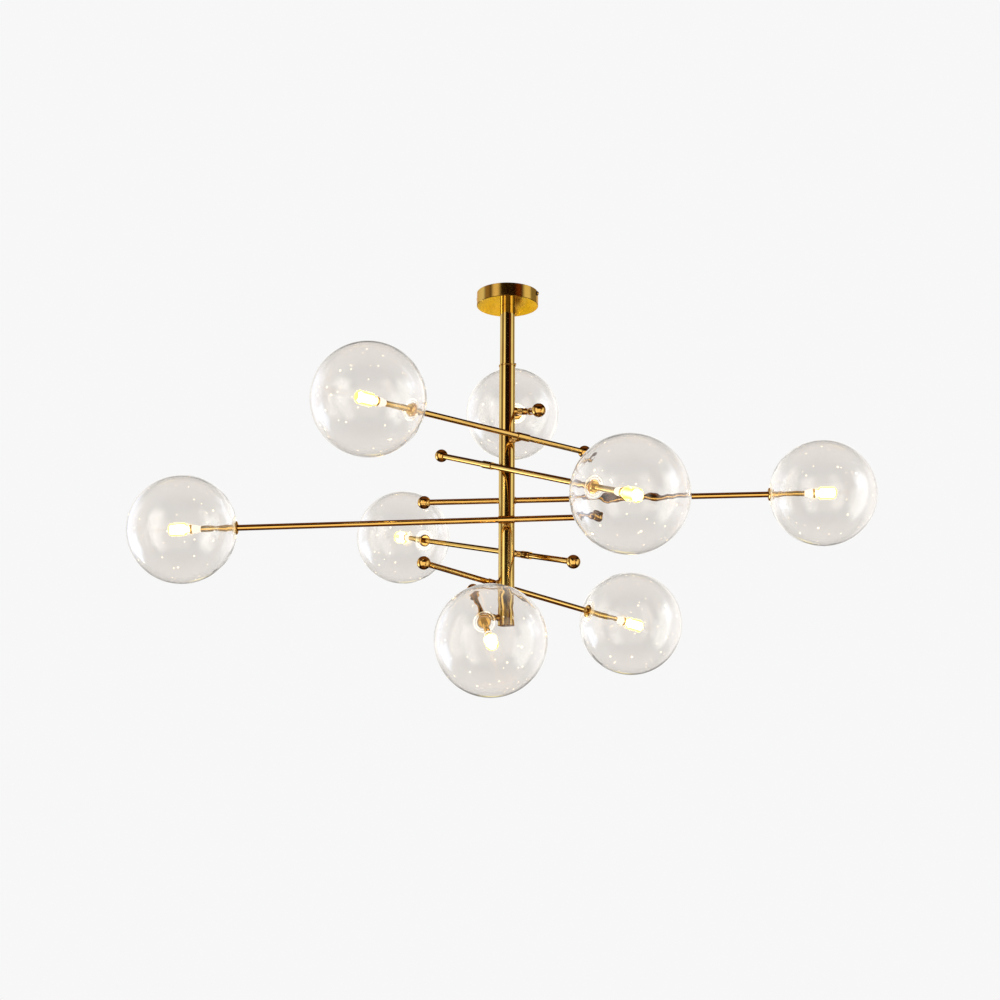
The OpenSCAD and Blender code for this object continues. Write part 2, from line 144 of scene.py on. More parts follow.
class PivotSizes(bpy.types.PropertyGroup):
    """Sizes of the side pivots."""
    foot: length("Foot", "Diameter of a post's foot", 14)
    foot_height: length("Foot height", "Height of a post's foot", 3)
    barrel: length("Barrel", "Diameter of a post's knurled barrel", 12)
    washer: length("Washer", "Diameter of the friction washer", 12.4)
    washer_height: length("Washer height", "Thickness of the friction washer", 1)
    axle: length("Axle", "Diameter of the axle", 7)
    axle_length: length("Axle length", "Length of the axle", 8)
    boss: length("Boss", "Diameter of the hub's boss", 12)
    boss_length: length("Boss length", "Tube axis to the boss's face", 14)
    sleeve: length("Sleeve", "Diameter of the hub sleeve", 14)
    sleeve_length: length("Sleeve length", "Length of the hub sleeve", 30)
    grub: length("Grub screw", "Diameter of the grub screw", 2.8)
    grub_hole: length("Grub hole", "Diameter of the hole for the grub screw", 3)
    grub_key: length("Grub key", "Width of the hexagon in the grub screw", 1.5)
    knurl_pitch: length("Knurl pitch", "Distance between the knurl's grooves", 1.15)
    knurl_depth: length("Knurl depth", "Depth of the knurl's grooves", 0.28)


class ArmSizes(bpy.types.PropertyGroup):
    """Sizes of an arm and of what is on its end."""
    tube: length("Tube", "Diameter of the tube", 11)
    tube_wall: length("Tube wall", "Wall of the tube", 1)
    ball: length("Ball", "Diameter of the ball", 25)
    flange: length("Flange", "Diameter of the flange at the glass", 25)
    flange_height: length("Flange height", "Thickness of the flange", 2.5)
    nut: length("Round nut", "Diameter of the nut inside the glass", 19)
    nut_height: length("Nut height", "Thickness of the nut", 4)
    joiner: length("Joiner", "Bore of the flange and the nut", 8)
    holder: length("Lampholder", "Diameter of the ceramic lampholder", 16)
    holder_length: length("Lampholder length", "Length of the ceramic lampholder", 20)
    holder_waist: length("Holder waist", "How much slimmer the lampholder is at its back, on each side", 2)
    pin_slot: length("Pin slot", "Width of a pin slot in the lampholder's face", 3.4)
    pin_pitch: length("Pin pitch", "Distance between the two pin slots", 9)
    lamp: length("Lamp", "Diameter of the lamp", 24)
    lamp_length: length("Lamp length", "Length of the lamp outside its holder", 40)
    lamp_shift: length("Lamp shift", "How far the lamp's middle lies beyond the globe's centre", 5)
    globe: length("Globe", "Diameter of the globe", 200)
    glass: length("Glass", "Thickness of the glass", 2.2)
    land: length("Land", "Diameter of the flat land inside the mouth", 42)
    mouth: length("Mouth", "Diameter of the hole in the mouth", 11)


class Finishes(bpy.types.PropertyGroup):
    """Colours of the finishes."""
    brass: colour("Stem brass", "Polished brass of the stem", (0.87, 0.60, 0.17))
    arm_brass: colour("Arm brass", "Redder polished brass of the arms", (0.87, 0.52, 0.14))
    brass_deep: colour("Deep brass", "Brass where it is toned", (0.66, 0.32, 0.10))
    canopy_side: colour("Canopy side", "Brushed brass of the canopy's wall", (0.80, 0.47, 0.09))
    canopy_face: colour("Canopy face", "Brass of the canopy's underside", (0.84, 0.63, 0.17))
    steel: colour("Zinc", "Zinc plated steel", (0.62, 0.63, 0.66))
    nylon: colour("Nylon", "Black nylon", (0.012, 0.012, 0.014))
    ceramic: colour("Ceramic", "Unglazed ceramic", (0.80, 0.74, 0.62))
    sleeve: colour("Lead sleeve", "Braided sleeve on the leads", (0.76, 0.74, 0.68))
    glass: colour("Glass", "Tint of the clear glass", (0.936, 0.915, 0.891))
    lamp_heart: colour("Lamp", "Light at the lamp's heart", (1.0, 0.93, 0.72))
    lamp_rim: colour("Lamp rim", "Light at the lamp's frosted edge", (1.0, 0.70, 0.06))
    backdrop: colour("Backdrop", "Colour of the seamless background", (0.931, 0.931, 0.931))


class Studio(bpy.types.PropertyGroup):
    """Camera, floor and lamps of the studio."""
    camera: FloatVectorProperty(name="Camera", description="Place of the camera", size=3,
                                default=(-0.0125, -2.726, -1.039), subtype="TRANSLATION")
    pitch: angle("Pitch", "Upward tilt of the camera", 13.03)
    roll: angle("Roll", "Roll of the camera", 0.30)
    lens: FloatProperty(name="Lens", description="Focal length in millimetres on a 36 mm frame", default=54)
    floor_drop: FloatProperty(name="Floor", description="Height of the ceiling above the floor",
                              default=2.5, unit="LENGTH", subtype="DISTANCE")
    floor_radius: FloatProperty(name="Floor radius", description="Radius of the round floor", default=8,
                                unit="LENGTH", subtype="DISTANCE")
    lamp_glow: FloatProperty(name="Lamp glow", description="Strength of the light at a lamp's heart",
                             default=9.0, min=0, max=50)


# Profiles and lathe work: a profile is a list of (radius, height) points in metres

def rounded(points, radius, steps=4, closed=False):
    """The profile with its corners rounded; a point's third number, where there is one, is its own radius."""
    made = []
    count = len(points)
    for k, point in enumerate(points):
        here = Vector(point[:2])
        corner = point[2] if len(point) > 2 else radius
        if corner <= 0 or (not closed and k in (0, count - 1)):
            made.append(tuple(here))
            continue
        back = Vector(points[k - 1][:2]) - here
        ahead = Vector(points[(k + 1) % count][:2]) - here
        opening = back.angle(ahead, math.pi)
        if opening > math.radians(178):
            made.append(tuple(here))
            continue
        reach = min(corner / math.tan(opening / 2), 0.49 * back.length, 0.49 * ahead.length)
        true_radius = reach * math.tan(opening / 2)
        bisector = (back.normalized() + ahead.normalized()).normalized()
        middle = here + bisector * (true_radius / math.sin(opening / 2))
        start = here + back.normalized() * reach - middle
        end = here + ahead.normalized() * reach - middle
        turn = start.angle_signed(end)
        for s in range(steps + 1):
            spoke = start.copy()
            spoke.rotate(Matrix.Rotation(-turn * s / steps, 2))
            made.append(tuple(middle + spoke))
    return made


def arc(radius, start, end, steps, centre=0.0):
    """Points on a circle about (0, centre); angles in degrees from the axis."""
    made = []
    for s in range(steps + 1):
        angle = math.radians(start + (end - start) * s / steps)
        made.append((radius * math.sin(angle), centre + radius * math.cos(angle)))
    return made


def lathe(profile, segments=64, closed=False):
    """A bmesh that turns the profile about +Z; closed joins its last point to its first."""
    made = bmesh.new()
    rings = []
    for radius, height in profile:
        if radius < 1e-7:
            rings.append([made.verts.new((0, 0, height))])
            continue
        rings.append([made.verts.new((radius * math.cos(2 * math.pi * s / segments),
                                      radius * math.sin(2 * math.pi * s / segments), height))
                      for s in range(segments)])
    pairs = list(zip(rings, rings[1:]))
    if closed:
        pairs.append((rings[-1], rings[0]))
    for low, high in pairs:
        for s in range(segments):
            after = (s + 1) % segments
            corners = (low[s % len(low)], low[after % len(low)], high[after % len(high)], high[s % len(high)])
            unique = list(dict.fromkeys(corners))
            if len(unique) > 2:
                made.faces.new(unique)
    bmesh.ops.recalc_face_normals(made, faces=made.faces)
    for face in made.faces:
        face.smooth = True
    return made


def turned(points, segments, closed=False, edge=BROKEN_EDGE, steps=4):
    """A lathed bmesh whose corners are rounded by edge, or by a point's own third number."""
    return lathe(rounded(points, edge, steps, closed), segments, closed)


def drill(diameter, start, end, sides=32):
    """A cutting cylinder along +Z; six sides make a hexagonal key's hole."""
    return lathe([(0, start), (diameter / 2, start), (diameter / 2, end), (0, end)], sides)


def knurled(diameter, start, end, pitch, depth):
    """A barrel along +Z whose skin is a diamond knurl of small pyramids, open at both ends."""
    columns = 2 * round(math.pi * diameter / pitch)
    rows = 2 * round((end - start) / pitch)
    made = bmesh.new()
    grid = []
    for j in range(rows + 1):
        height = start + (end - start) * j / rows
        edge = j in (0, rows)
        ring = []
        for i in range(columns):
            radius = diameter / 2 - (depth if (i + j) % 2 or edge else 0)
            turn = 2 * math.pi * i / columns
            ring.append(made.verts.new((radius * math.cos(turn), radius * math.sin(turn), height)))
        grid.append(ring)
    for j in range(rows):
        for i in range(columns):
            after = (i + 1) % columns
            a, b, c, d = grid[j][i], grid[j][after], grid[j + 1][after], grid[j + 1][i]
            split = [(a, b, d), (b, c, d)] if (i + j) % 2 == 0 else [(a, b, c), (a, c, d)]
            for corners in split:
                made.faces.new(corners)
    bmesh.ops.recalc_face_normals(made, faces=made.faces)
    return made


def box_mesh(size, centre, bevel=0.0, steps=2):
    """A box with its edges rounded."""
    made = bmesh.new()
    bmesh.ops.create_cube(made, size=1)
    bmesh.ops.scale(made, vec=size, verts=made.verts)
    bmesh.ops.translate(made, vec=centre, verts=made.verts)
    if bevel > 0:
        bmesh.ops.bevel(made, geom=list(made.edges), offset=bevel, segments=steps, profile=0.5,
                        affect="EDGES", clamp_overlap=True)
    for face in made.faces:
        face.smooth = bevel > 0
    return made


def placed(made, matrix):
    """The bmesh, moved by the matrix."""
    made.transform(matrix)
    return made


def merged(*parts):
    """All of the bmeshes as one."""
    made = parts[0]
    for part in parts[1:]:
        spare = bpy.data.meshes.new("spare")
        part.to_mesh(spare)
        made.from_mesh(spare)
        bpy.data.meshes.remove(spare)
        part.free()
    return made


def loose(name, made):
    """A new object in the scene that holds the bmesh."""
    mesh = bpy.data.meshes.new(name)
    made.to_mesh(mesh)
    made.free()
    shape = bpy.data.objects.new(name, mesh)
    bpy.context.scene.collection.objects.link(shape)
    return shape


def carved(body, *tools, operation="DIFFERENCE"):
    """The bmesh after an exact boolean with each tool, itself a bmesh."""
    target = loose("work", body)
    for tool in tools:
        cutter = loose("tool", tool)
        boolean = target.modifiers.new("cut", "BOOLEAN")
        boolean.operation, boolean.solver, boolean.object = operation, "EXACT", cutter
        bpy.context.view_layer.update()
        evaluated = target.evaluated_get(bpy.context.evaluated_depsgraph_get())
        mesh = bpy.data.meshes.new_from_object(evaluated)
        target.modifiers.clear()
        old, target.data = target.data, mesh
        bpy.data.meshes.remove(old)
        bpy.data.objects.remove(cutter)
    made = bmesh.new()
    made.from_mesh(target.data)
    bpy.data.objects.remove(target)
    bmesh.ops.remove_doubles(made, verts=made.verts, dist=1e-6)
    for face in made.faces:
        face.smooth = True
    return made


def piece(name, made, body, slot, *finishes, stands_for=(), at=None, sharp=32):
    """A new named piece from a bmesh, with its finishes, its crisp edges and the body it rides on."""
    shape = loose(name, made)
    if at is not None:
        shape.matrix_world = at
    for finish in finishes:
        shape.data.materials.append(bpy.data.materials[finish])
    shape.data.set_sharp_from_angle(angle=math.radians(sharp))
    weighted = shape.modifiers.new("even_normals", "WEIGHTED_NORMAL")
    weighted.keep_sharp = True
    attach(shape, body)
    if stands_for:
        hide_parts(*stands_for)


def dress(node, finish):
    """Gives a CAD node its finish; its shape stays as it is."""
    shape = frame["nodes"][node]
    shape.data.materials.clear()
    shape.data.materials.append(bpy.data.materials[finish])


# Where the frame's pieces are

class Arm:
    """One arm's places, read from the frame: its pivot, its direction and its globe's centre."""

    def __init__(self, number, joint):
        self.number = number
        self.body = joint["child"]
        self.pivot = Vector(joint["pos_m"])
        axis = Vector(joint["axis"])
        heading = Vector((-axis.y, axis.x, 0))
        points = [v.co for v in frame["nodes"][self.node("globe")].data.vertices]
        low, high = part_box(self.node("globe"))
        outward = max(p.dot(heading) for p in points) - (high.z - low.z) / 2
        self.centre = self.pivot + heading * (outward - self.pivot.dot(heading))
        self.centre.z = (high.z + low.z) / 2
        self.reach = (self.centre - self.pivot).length
        self.forward = (self.centre - self.pivot).normalized()
        turn = Matrix((self.forward, -axis, self.forward.cross(-axis))).transposed()
        self.matrix = Matrix.Translation(self.pivot) @ turn.to_4x4()

    def node(self, part):
        """The CAD node's name of one of this arm's parts."""
        return f"arm_{self.number}_{part}"

    def along(self, distance):
        """A matrix at a distance along the arm from its pivot, with +Z towards the globe."""
        return self.matrix @ Matrix.Translation((distance, 0, 0)) @ ALONG_X

    def lamp(self):
        """A matrix at the globe's centre, with +Z back towards the hub."""
        return self.along(self.reach) @ FLIP

    def post(self):
        """A matrix on the stem's axis at the pivot's height, with +Z outward along the post."""
        outward = Vector((self.pivot.x, self.pivot.y, 0)).normalized()
        across = UP.cross(outward)
        turn = Matrix((across, outward.cross(across), outward)).transposed().to_4x4()
        return Matrix.Translation((0, 0, self.pivot.z)) @ turn

    def ball_reach(self):
        """Distance from the pivot to the ball's centre, worked out from the rod's own vertices."""
        points = [v.co - self.pivot for v in frame["nodes"][self.node("rod")].data.vertices]
        return max(p.dot(-self.forward) for p in points) - bpy.context.scene.chandelier_arm.ball / 2

    def piece(self, name, made, slot, finishes, at, part=None, sharp=32):
        """A piece that rides on this arm, named after it; part is the CAD part that it replaces."""
        piece(self.node(name), made, self.body, slot, *finishes,
              stands_for=[self.node(part)] if part else (), at=at, sharp=sharp)


def arms():
    """The eight arms, top arm first."""
    return [Arm(number, joint) for number, joint in enumerate(frame["joints"], start=1)]


class LampPlaces:
    """Distances from a globe's centre towards the hub, which the glass, nut and lamp share."""

    def __init__(self, sizes):
        outer, inner = sizes.globe / 2, sizes.globe / 2 - sizes.glass
        self.seat = math.sqrt(outer ** 2 - (sizes.flange / 2 + BROKEN_EDGE) ** 2)
        self.land = math.sqrt(inner ** 2 - (sizes.land / 2) ** 2)
        self.nut = self.land - CLEARANCE
        self.nut_back = self.nut - sizes.nut_height
        self.holder = sizes.lamp_length / 2 - sizes.lamp_shift
        self.holder_back = self.holder + sizes.holder_length


# Shader tools

def feed(tree, node, values):
    """Links or sets a node's inputs, given by name or number; a colour gets its alpha."""
    for key, value in values.items():
        socket = node.inputs[key]
        if isinstance(value, bpy.types.NodeSocket):
            tree.links.new(value, socket)
        elif socket.type == "RGBA":
            socket.default_value = (*value, 1)
        else:
            socket.default_value = value


def add(tree, kind, values=None, **settings):
    """A new node with its settings and its inputs."""
    made = tree.nodes.new(kind)
    for key, value in settings.items():
        setattr(made, key, value)
    feed(tree, made, values or {})
    return made


def arithmetic(tree, operation, *values, clamp=False):
    """A Math node on sockets or plain numbers."""
    made = add(tree, "ShaderNodeMath", dict(enumerate(values)), operation=operation, use_clamp=clamp)
    return made.outputs[0]


def ranged(tree, source, low, high, new_low, new_high):
    """A Map Range node from one range to another."""
    made = add(tree, "ShaderNodeMapRange", {
        "Value": source, "From Min": low, "From Max": high, "To Min": new_low, "To Max": new_high})
    return made.outputs["Result"]


def blended(tree, factor, first, second):
    """A colour mix of two colours, each a socket or three numbers."""
    return add(tree, "ShaderNodeMix", {0: factor, 6: first, 7: second}, data_type="RGBA").outputs[2]


def noise(tree, place, scale, detail, roughness=0.5, distortion=0.0):
    """The value of a Noise texture, from 0 to 1."""
    made = add(tree, "ShaderNodeTexNoise", {
        "Vector": place, "Scale": scale, "Detail": detail, "Roughness": roughness, "Distortion": distortion})
    return made.outputs["Fac"]


def bumped(tree, height, strength, distance):
    """A normal that a height in a Bump node disturbs."""
    made = add(tree, "ShaderNodeBump", {"Height": height, "Strength": strength, "Distance": distance})
    return made.outputs["Normal"]


def separated(tree, vector):
    """The three numbers of a vector or a colour."""
    return add(tree, "ShaderNodeSeparateXYZ", {0: vector}).outputs


def facing_away(tree):
    """0 where the surface faces the eye, 1 where it's seen edge on."""
    return add(tree, "ShaderNodeLayerWeight", {"Blend": 0.5}).outputs["Facing"]


def tinted(tone, factor):
    """The tone made lighter or darker."""
    return tuple(min(1.0, channel * factor) for channel in tone)


def new_group(name, inputs, outputs):
    """A shader group: inputs gives each default, one float or three numbers, and outputs names its values."""
    tree = bpy.data.node_groups.new(name, "ShaderNodeTree")
    for label, default in inputs.items():
        kind = "NodeSocketFloat" if isinstance(default, float) else "NodeSocketVector"
        tree.interface.new_socket(name=label, in_out="INPUT", socket_type=kind).default_value = default
    for label in outputs:
        tree.interface.new_socket(name=label, in_out="OUTPUT", socket_type="NodeSocketFloat")
    return tree, tree.nodes.new("NodeGroupInput").outputs, tree.nodes.new("NodeGroupOutput")


def grouped(tree, name, values):
    """The outputs of a shader group that is placed in a material with its own values."""
    return add(tree, "ShaderNodeGroup", values, node_tree=bpy.data.node_groups[name]).outputs


def new_material(name):
    """A new material with a Principled shader; gives its tree, the shader and object coordinates."""
    made = bpy.data.materials.new(name)
    made.use_nodes = True
    tree = made.node_tree
    return tree, tree.nodes["Principled BSDF"], tree.nodes.new("ShaderNodeTexCoord").outputs["Object"]


# Effects that several finishes share

def draw_lines_group():
    """Fine lines left by drawing or spinning, as a height, and as a tone from 0 to 1."""
    tree, given, out = new_group(
        "draw_lines", {"Vector": (0, 0, 0), "Stretch": (1, 1, 1), "Fineness": 600.0}, ["Height", "Tone"])
    stretched = add(tree, "ShaderNodeVectorMath", {0: given["Vector"], 1: given["Stretch"]},
                    operation="MULTIPLY").outputs[0]
    fine = noise(tree, stretched, given["Fineness"], 3.0, 0.65)
    broad = noise(tree, stretched, arithmetic(tree, "MULTIPLY", given["Fineness"], 0.13), 2.0)
    both = arithmetic(tree, "MULTIPLY_ADD", broad, 0.4, arithmetic(tree, "MULTIPLY", fine, 0.6))
    feed(tree, out, {"Height": both, "Tone": ranged(tree, both, 0.3, 0.7, 0.0, 1.0)})


def toning_group():
    """Soft cloudy toning under the lacquer and small handling marks, both from 0 to 1."""
    tree, given, out = new_group("toning", {"Vector": (0, 0, 0), "Size": 0.03}, ["Clouds", "Marks"])
    rate = arithmetic(tree, "DIVIDE", 1.0, given["Size"])
    clouds = noise(tree, given["Vector"], rate, 4.0, 0.55, 0.4)
    marks = noise(tree, given["Vector"], arithmetic(tree, "MULTIPLY", rate, 9.0), 6.0, 0.75)
    feed(tree, out, {"Clouds": ranged(tree, clouds, 0.35, 0.68, 0.0, 1.0),
                     "Marks": ranged(tree, marks, 0.56, 0.72, 0.0, 1.0)})


def worn_edges_group():
    """Where a shape's edges stand out and catch wear, from 0 to 1, and where it dips into grooves, from 0 to
    1.
    """
    tree, given, out = new_group("worn_edges", {"Reach": 0.06}, ["Edges", "Grooves"])
    pointed = tree.nodes.new("ShaderNodeNewGeometry").outputs["Pointiness"]
    above = arithmetic(tree, "SUBTRACT", pointed, 0.5)
    below = arithmetic(tree, "SUBTRACT", 0.5, pointed)
    feed(tree, out, {"Edges": arithmetic(tree, "DIVIDE", above, given["Reach"], clamp=True),
                     "Grooves": arithmetic(tree, "DIVIDE", below, given["Reach"], clamp=True)})


def soft_panel_group():
    """How far a direction lies inside a soft-edged panel of the studio, from 0 to 1."""
    inputs = {"Direction": (0, 0, 0), **dict.fromkeys(PANEL_ANGLES, 0.5)}
    tree, given, out = new_group("soft_panel", inputs, ["Mask"])
    right, back, up = separated(tree, given["Direction"])
    around = arithmetic(tree, "ARCTAN2", right, arithmetic(tree, "MULTIPLY", back, -1.0))
    turn = arithmetic(tree, "SUBTRACT", around, given["Azimuth"])
    aside = arithmetic(tree, "ARCCOSINE", arithmetic(tree, "COSINE", turn))
    rise = arithmetic(tree, "SUBTRACT", arithmetic(tree, "ARCSINE", up), given["Elevation"])
    rise = arithmetic(tree, "ABSOLUTE", rise)
    masks = []
    for off, half in ((aside, given["Half Width"]), (rise, given["Half Height"])):
        edge = add(tree, "ShaderNodeMapRange", {
            "Value": off, "From Min": arithmetic(tree, "SUBTRACT", half, given["Softness"]),
            "From Max": arithmetic(tree, "ADD", half, given["Softness"]), "To Min": 1.0, "To Max": 0.0},
            interpolation_type="SMOOTHSTEP")
        masks.append(edge.outputs["Result"])
    feed(tree, out, {"Mask": arithmetic(tree, "MULTIPLY", *masks)})


def seeds_group():
    """Seeds in blown glass: a few small round bubbles of uneven size, as a mask from 0 to 1."""
    tree, given, out = new_group("seeds", {"Vector": (0, 0, 0), "Spacing": 0.026, "Radius": 0.0024}, ["Mask"])
    cells = add(tree, "ShaderNodeTexVoronoi", {
        "Vector": given["Vector"], "Scale": arithmetic(tree, "DIVIDE", 1.0, given["Spacing"]),
        "Randomness": 1.0}, feature="F1")
    distance = arithmetic(tree, "MULTIPLY", cells.outputs["Distance"], given["Spacing"])
    chance = separated(tree, cells.outputs["Color"])[0]
    size = arithmetic(tree, "MULTIPLY", ranged(tree, chance, 0.0, 1.0, 0.45, 1.1), given["Radius"])
    feed(tree, out, {"Mask": ranged(tree, arithmetic(tree, "DIVIDE", distance, size), 0.55, 1.0, 1.0, 0.0)})


# Finishes

def ringed(tree, place):
    """Coordinates that stay the same all round the Z axis, for the lines that a lathe leaves."""
    x, y, z = separated(tree, place)
    level = add(tree, "ShaderNodeCombineXYZ", {0: x, 1: y})
    radius = add(tree, "ShaderNodeVectorMath", {0: level.outputs[0]}, operation="LENGTH")
    return add(tree, "ShaderNodeCombineXYZ", {0: radius.outputs["Value"], 2: z}).outputs[0]


def brass(name, tone, deep, roughness, line_depth, stretch=(1, 1, 1), fineness=700.0, lacquer=0.25,
          grazing=(0.70, 0.60, 0.50), lit=0.0, spun=False):
    """Lacquered brass: clouds of tone, drawn or spun lines, darker grooves, worn edges, a darker limb, and,
    where lit is above 0, a painted glow that stands in for a lamp's light on it.
    """
    tree, shader, place = new_material(name)
    lines = grouped(tree, "draw_lines", {
        "Vector": ringed(tree, place) if spun else place, "Stretch": stretch, "Fineness": fineness})
    toning = grouped(tree, "toning", {"Vector": place, "Size": 0.035})
    wear = grouped(tree, "worn_edges", {"Reach": 0.08})
    clouds = arithmetic(tree, "MULTIPLY", toning["Clouds"], 0.35)
    # darker in clouds of toning and, found by Pointiness, in grooves
    clouds_and_grooves = arithmetic(tree, "MULTIPLY_ADD", wear["Grooves"], 0.5, clouds)
    worn = arithmetic(tree, "MULTIPLY", wear["Edges"], 0.5)
    rough = arithmetic(tree, "MULTIPLY_ADD", lines["Tone"], roughness * 0.5, roughness * 0.7)
    feed(tree, shader, {
        "Base Color": blended(tree, worn, blended(tree, clouds_and_grooves, tone, deep), tinted(tone, 1.12)),
        "Metallic": 1.0,
        "Specular Tint": grazing,
        "Roughness": arithmetic(tree, "MULTIPLY_ADD", toning["Marks"], 0.05, rough),
        "Coat Weight": lacquer,
        "Coat Roughness": 0.06,
        "Coat IOR": 1.45,
        "Normal": bumped(tree, lines["Height"], 0.35, line_depth),
        # painted lamplight: where lit is above 0, the brass glows warm, standing in for a nearby lamp's light
        # on it
        "Emission Color": (1.0, 0.78, 0.34),
        "Emission Strength": lit})


def spun_brass(name, tone, deep, roughness, line_depth):
    """Brass spun on a lathe about the Z axis, without lacquer."""
    brass(name, tone, deep, roughness, line_depth, fineness=900.0, lacquer=0.0, spun=True)


def zinc(tone):
    """Zinc plated steel: pale spangle and fine scratches."""
    tree, shader, place = new_material("zinc_plating")
    spangle = grouped(tree, "toning", {"Vector": place, "Size": 0.012})
    lines = grouped(tree, "draw_lines", {"Vector": place, "Stretch": (1, 8, 8), "Fineness": 250.0})
    feed(tree, shader, {
        "Base Color": blended(tree, spangle["Clouds"], tone, tinted(tone, 0.72)),
        "Metallic": 1.0,
        "Roughness": ranged(tree, lines["Tone"], 0.0, 1.0, 0.26, 0.42),
        "Normal": bumped(tree, lines["Height"], 0.3, 0.00006)})


def moulded_nylon(tone):
    """Black nylon with a fine moulded grain."""
    tree, shader, place = new_material("moulded_nylon")
    grain = noise(tree, place, 1800.0, 2.0)
    feed(tree, shader, {
        "Base Color": blended(tree, grain, tone, tinted(tone, 1.8)),
        "Roughness": ranged(tree, grain, 0.3, 0.7, 0.38, 0.55),
        "Normal": bumped(tree, grain, 0.3, 0.00005)})


def steatite(name, tone, glow):
    """Unglazed ceramic: chalky grain, faint scorching, and a painted glow that stands in for a lit lamp's
    light on it.
    """
    tree, shader, place = new_material(name)
    scorching = grouped(tree, "toning", {"Vector": place, "Size": 0.01})
    warm = (tone[0] * 0.93, tone[1] * 0.87, tone[2] * 0.76)
    grain = noise(tree, place, 2600.0, 3.0)
    feed(tree, shader, {
        "Base Color": blended(tree, scorching["Clouds"], tone, warm),
        "Roughness": ranged(tree, grain, 0.3, 0.7, 0.55, 0.75),
        "Normal": bumped(tree, grain, 0.4, 0.00004),
        # painted glow: where glow is above 0, the ceramic glows warm, standing in for the lamp's light on it
        "Emission Color": (1.0, 0.95, 0.84),
        "Emission Strength": glow})


def braided_sleeve(tone):
    """Glass-fibre braid: two crossing sets of fine ribs."""
    tree, shader, place = new_material("braided_sleeve")
    ribs = []
    for turn in (math.radians(40), math.radians(-40)):
        tilted = add(tree, "ShaderNodeMapping", {"Vector": place, "Rotation": (0, turn, turn)})
        ribs.append(add(tree, "ShaderNodeTexWave", {
            "Vector": tilted.outputs[0], "Scale": 260.0, "Distortion": 0.3}).outputs["Fac"])
    braid = arithmetic(tree, "MAXIMUM", *ribs)
    feed(tree, shader, {
        "Base Color": blended(tree, braid, tinted(tone, 0.7), tone),
        "Roughness": ranged(tree, braid, 0.0, 1.0, 0.8, 0.6),
        "Normal": bumped(tree, braid, 0.5, 0.0001)})


def blown_glass(tint):
    """Clear blown glass: waves that grow towards the mouth, painted warm glints in its seeds, a painted glow
    on its rims, a trace of dust.
    """
    tree, shader, place = new_material("blown_glass")
    near_mouth = ranged(tree, separated(tree, place)[2], 0.0, 0.09, 0.0, 4.0)
    waves = noise(tree, place, 22.0, 1.5, 0.4)
    ripples = noise(tree, place, 34.0, 1.0, 0.4)
    height = arithmetic(tree, "MULTIPLY_ADD", ripples, near_mouth, waves)
    backfacing = tree.nodes.new("ShaderNodeNewGeometry").outputs["Backfacing"]
    entered = arithmetic(tree, "SUBTRACT", 1.0, backfacing)
    dust = grouped(tree, "toning", {"Vector": place, "Size": 0.08})
    seeds = grouped(tree, "seeds", {"Vector": place})["Mask"]
    # painted glints: the seeds glow warm, standing in for points of light caught in the bubbles
    painted_glints = arithmetic(tree, "MULTIPLY", seeds, 1.3)
    # painted glow on the rims where the glass is seen edge on, standing in for lamplight scattered in the
    # glass
    painted_rim_glow = ranged(tree, facing_away(tree), 0.15, 0.70, 0.0, 0.12)
    feed(tree, shader, {
        "Base Color": blended(tree, dust["Clouds"], tint, tinted(tint, 0.985)),
        "Roughness": 0.0,
        "IOR": 1.47,
        "Transmission Weight": 1.0,
        "Normal": bumped(tree, arithmetic(tree, "MULTIPLY", height, entered), 0.5, 0.0010),
        # the painted glints are warm, the painted rim glow is white
        "Emission Color": blended(tree, seeds, (1.0, 0.98, 0.94), (1.0, 0.72, 0.32)),
        "Emission Strength": arithmetic(tree, "MAXIMUM", painted_rim_glow, painted_glints)})


def mouth_glass(tint):
    """The thick glass round a globe's mouth: rings left by the blowpipe, with a painted glow on them that
    stands in for the lamp's light.
    """
    tree, shader, place = new_material("mouth_glass")
    rings = add(tree, "ShaderNodeTexWave", {
        "Vector": place, "Scale": 75.0, "Distortion": 3.0, "Detail": 1.0, "Detail Scale": 2.0},
        wave_type="RINGS", rings_direction="Z").outputs["Fac"]
    feed(tree, shader, {
        "Base Color": blended(tree, rings, tint, (0.99, 0.985, 0.97)),
        "Roughness": 0.02,
        "IOR": 1.33,
        "Transmission Weight": 1.0,
        "Normal": bumped(tree, rings, 0.5, 0.0009),
        # painted glow in the rings, standing in for the lamp's light caught in the thick glass
        "Emission Color": (1.0, 0.87, 0.58),
        "Emission Strength": ranged(tree, rings, 0.40, 0.90, 0.03, 0.40)})


def lit_lamp(heart, rim, glow):
    """A lit frosted capsule: white hot at its heart, with a soft golden edge."""
    tree, shader, place = new_material("lit_lamp")
    grain = noise(tree, place, 900.0, 2.0)
    facing = facing_away(tree)
    limb = ranged(tree, facing, 0.18, 0.46, 0.0, 1.0)
    feed(tree, shader, {
        "Base Color": blended(tree, grain, heart, rim),
        "Roughness": ranged(tree, grain, 0.3, 0.7, 0.25, 0.4),
        "Normal": bumped(tree, grain, 0.2, 0.00003),
        "Alpha": ranged(tree, facing, 0.52, 0.98, 1.0, 0.0),
        "Emission Color": blended(tree, arithmetic(tree, "MULTIPLY_ADD", grain, 0.1, limb), heart, rim),
        "Emission Strength": ranged(tree, limb, 0.0, 0.9, glow, 1.2)})


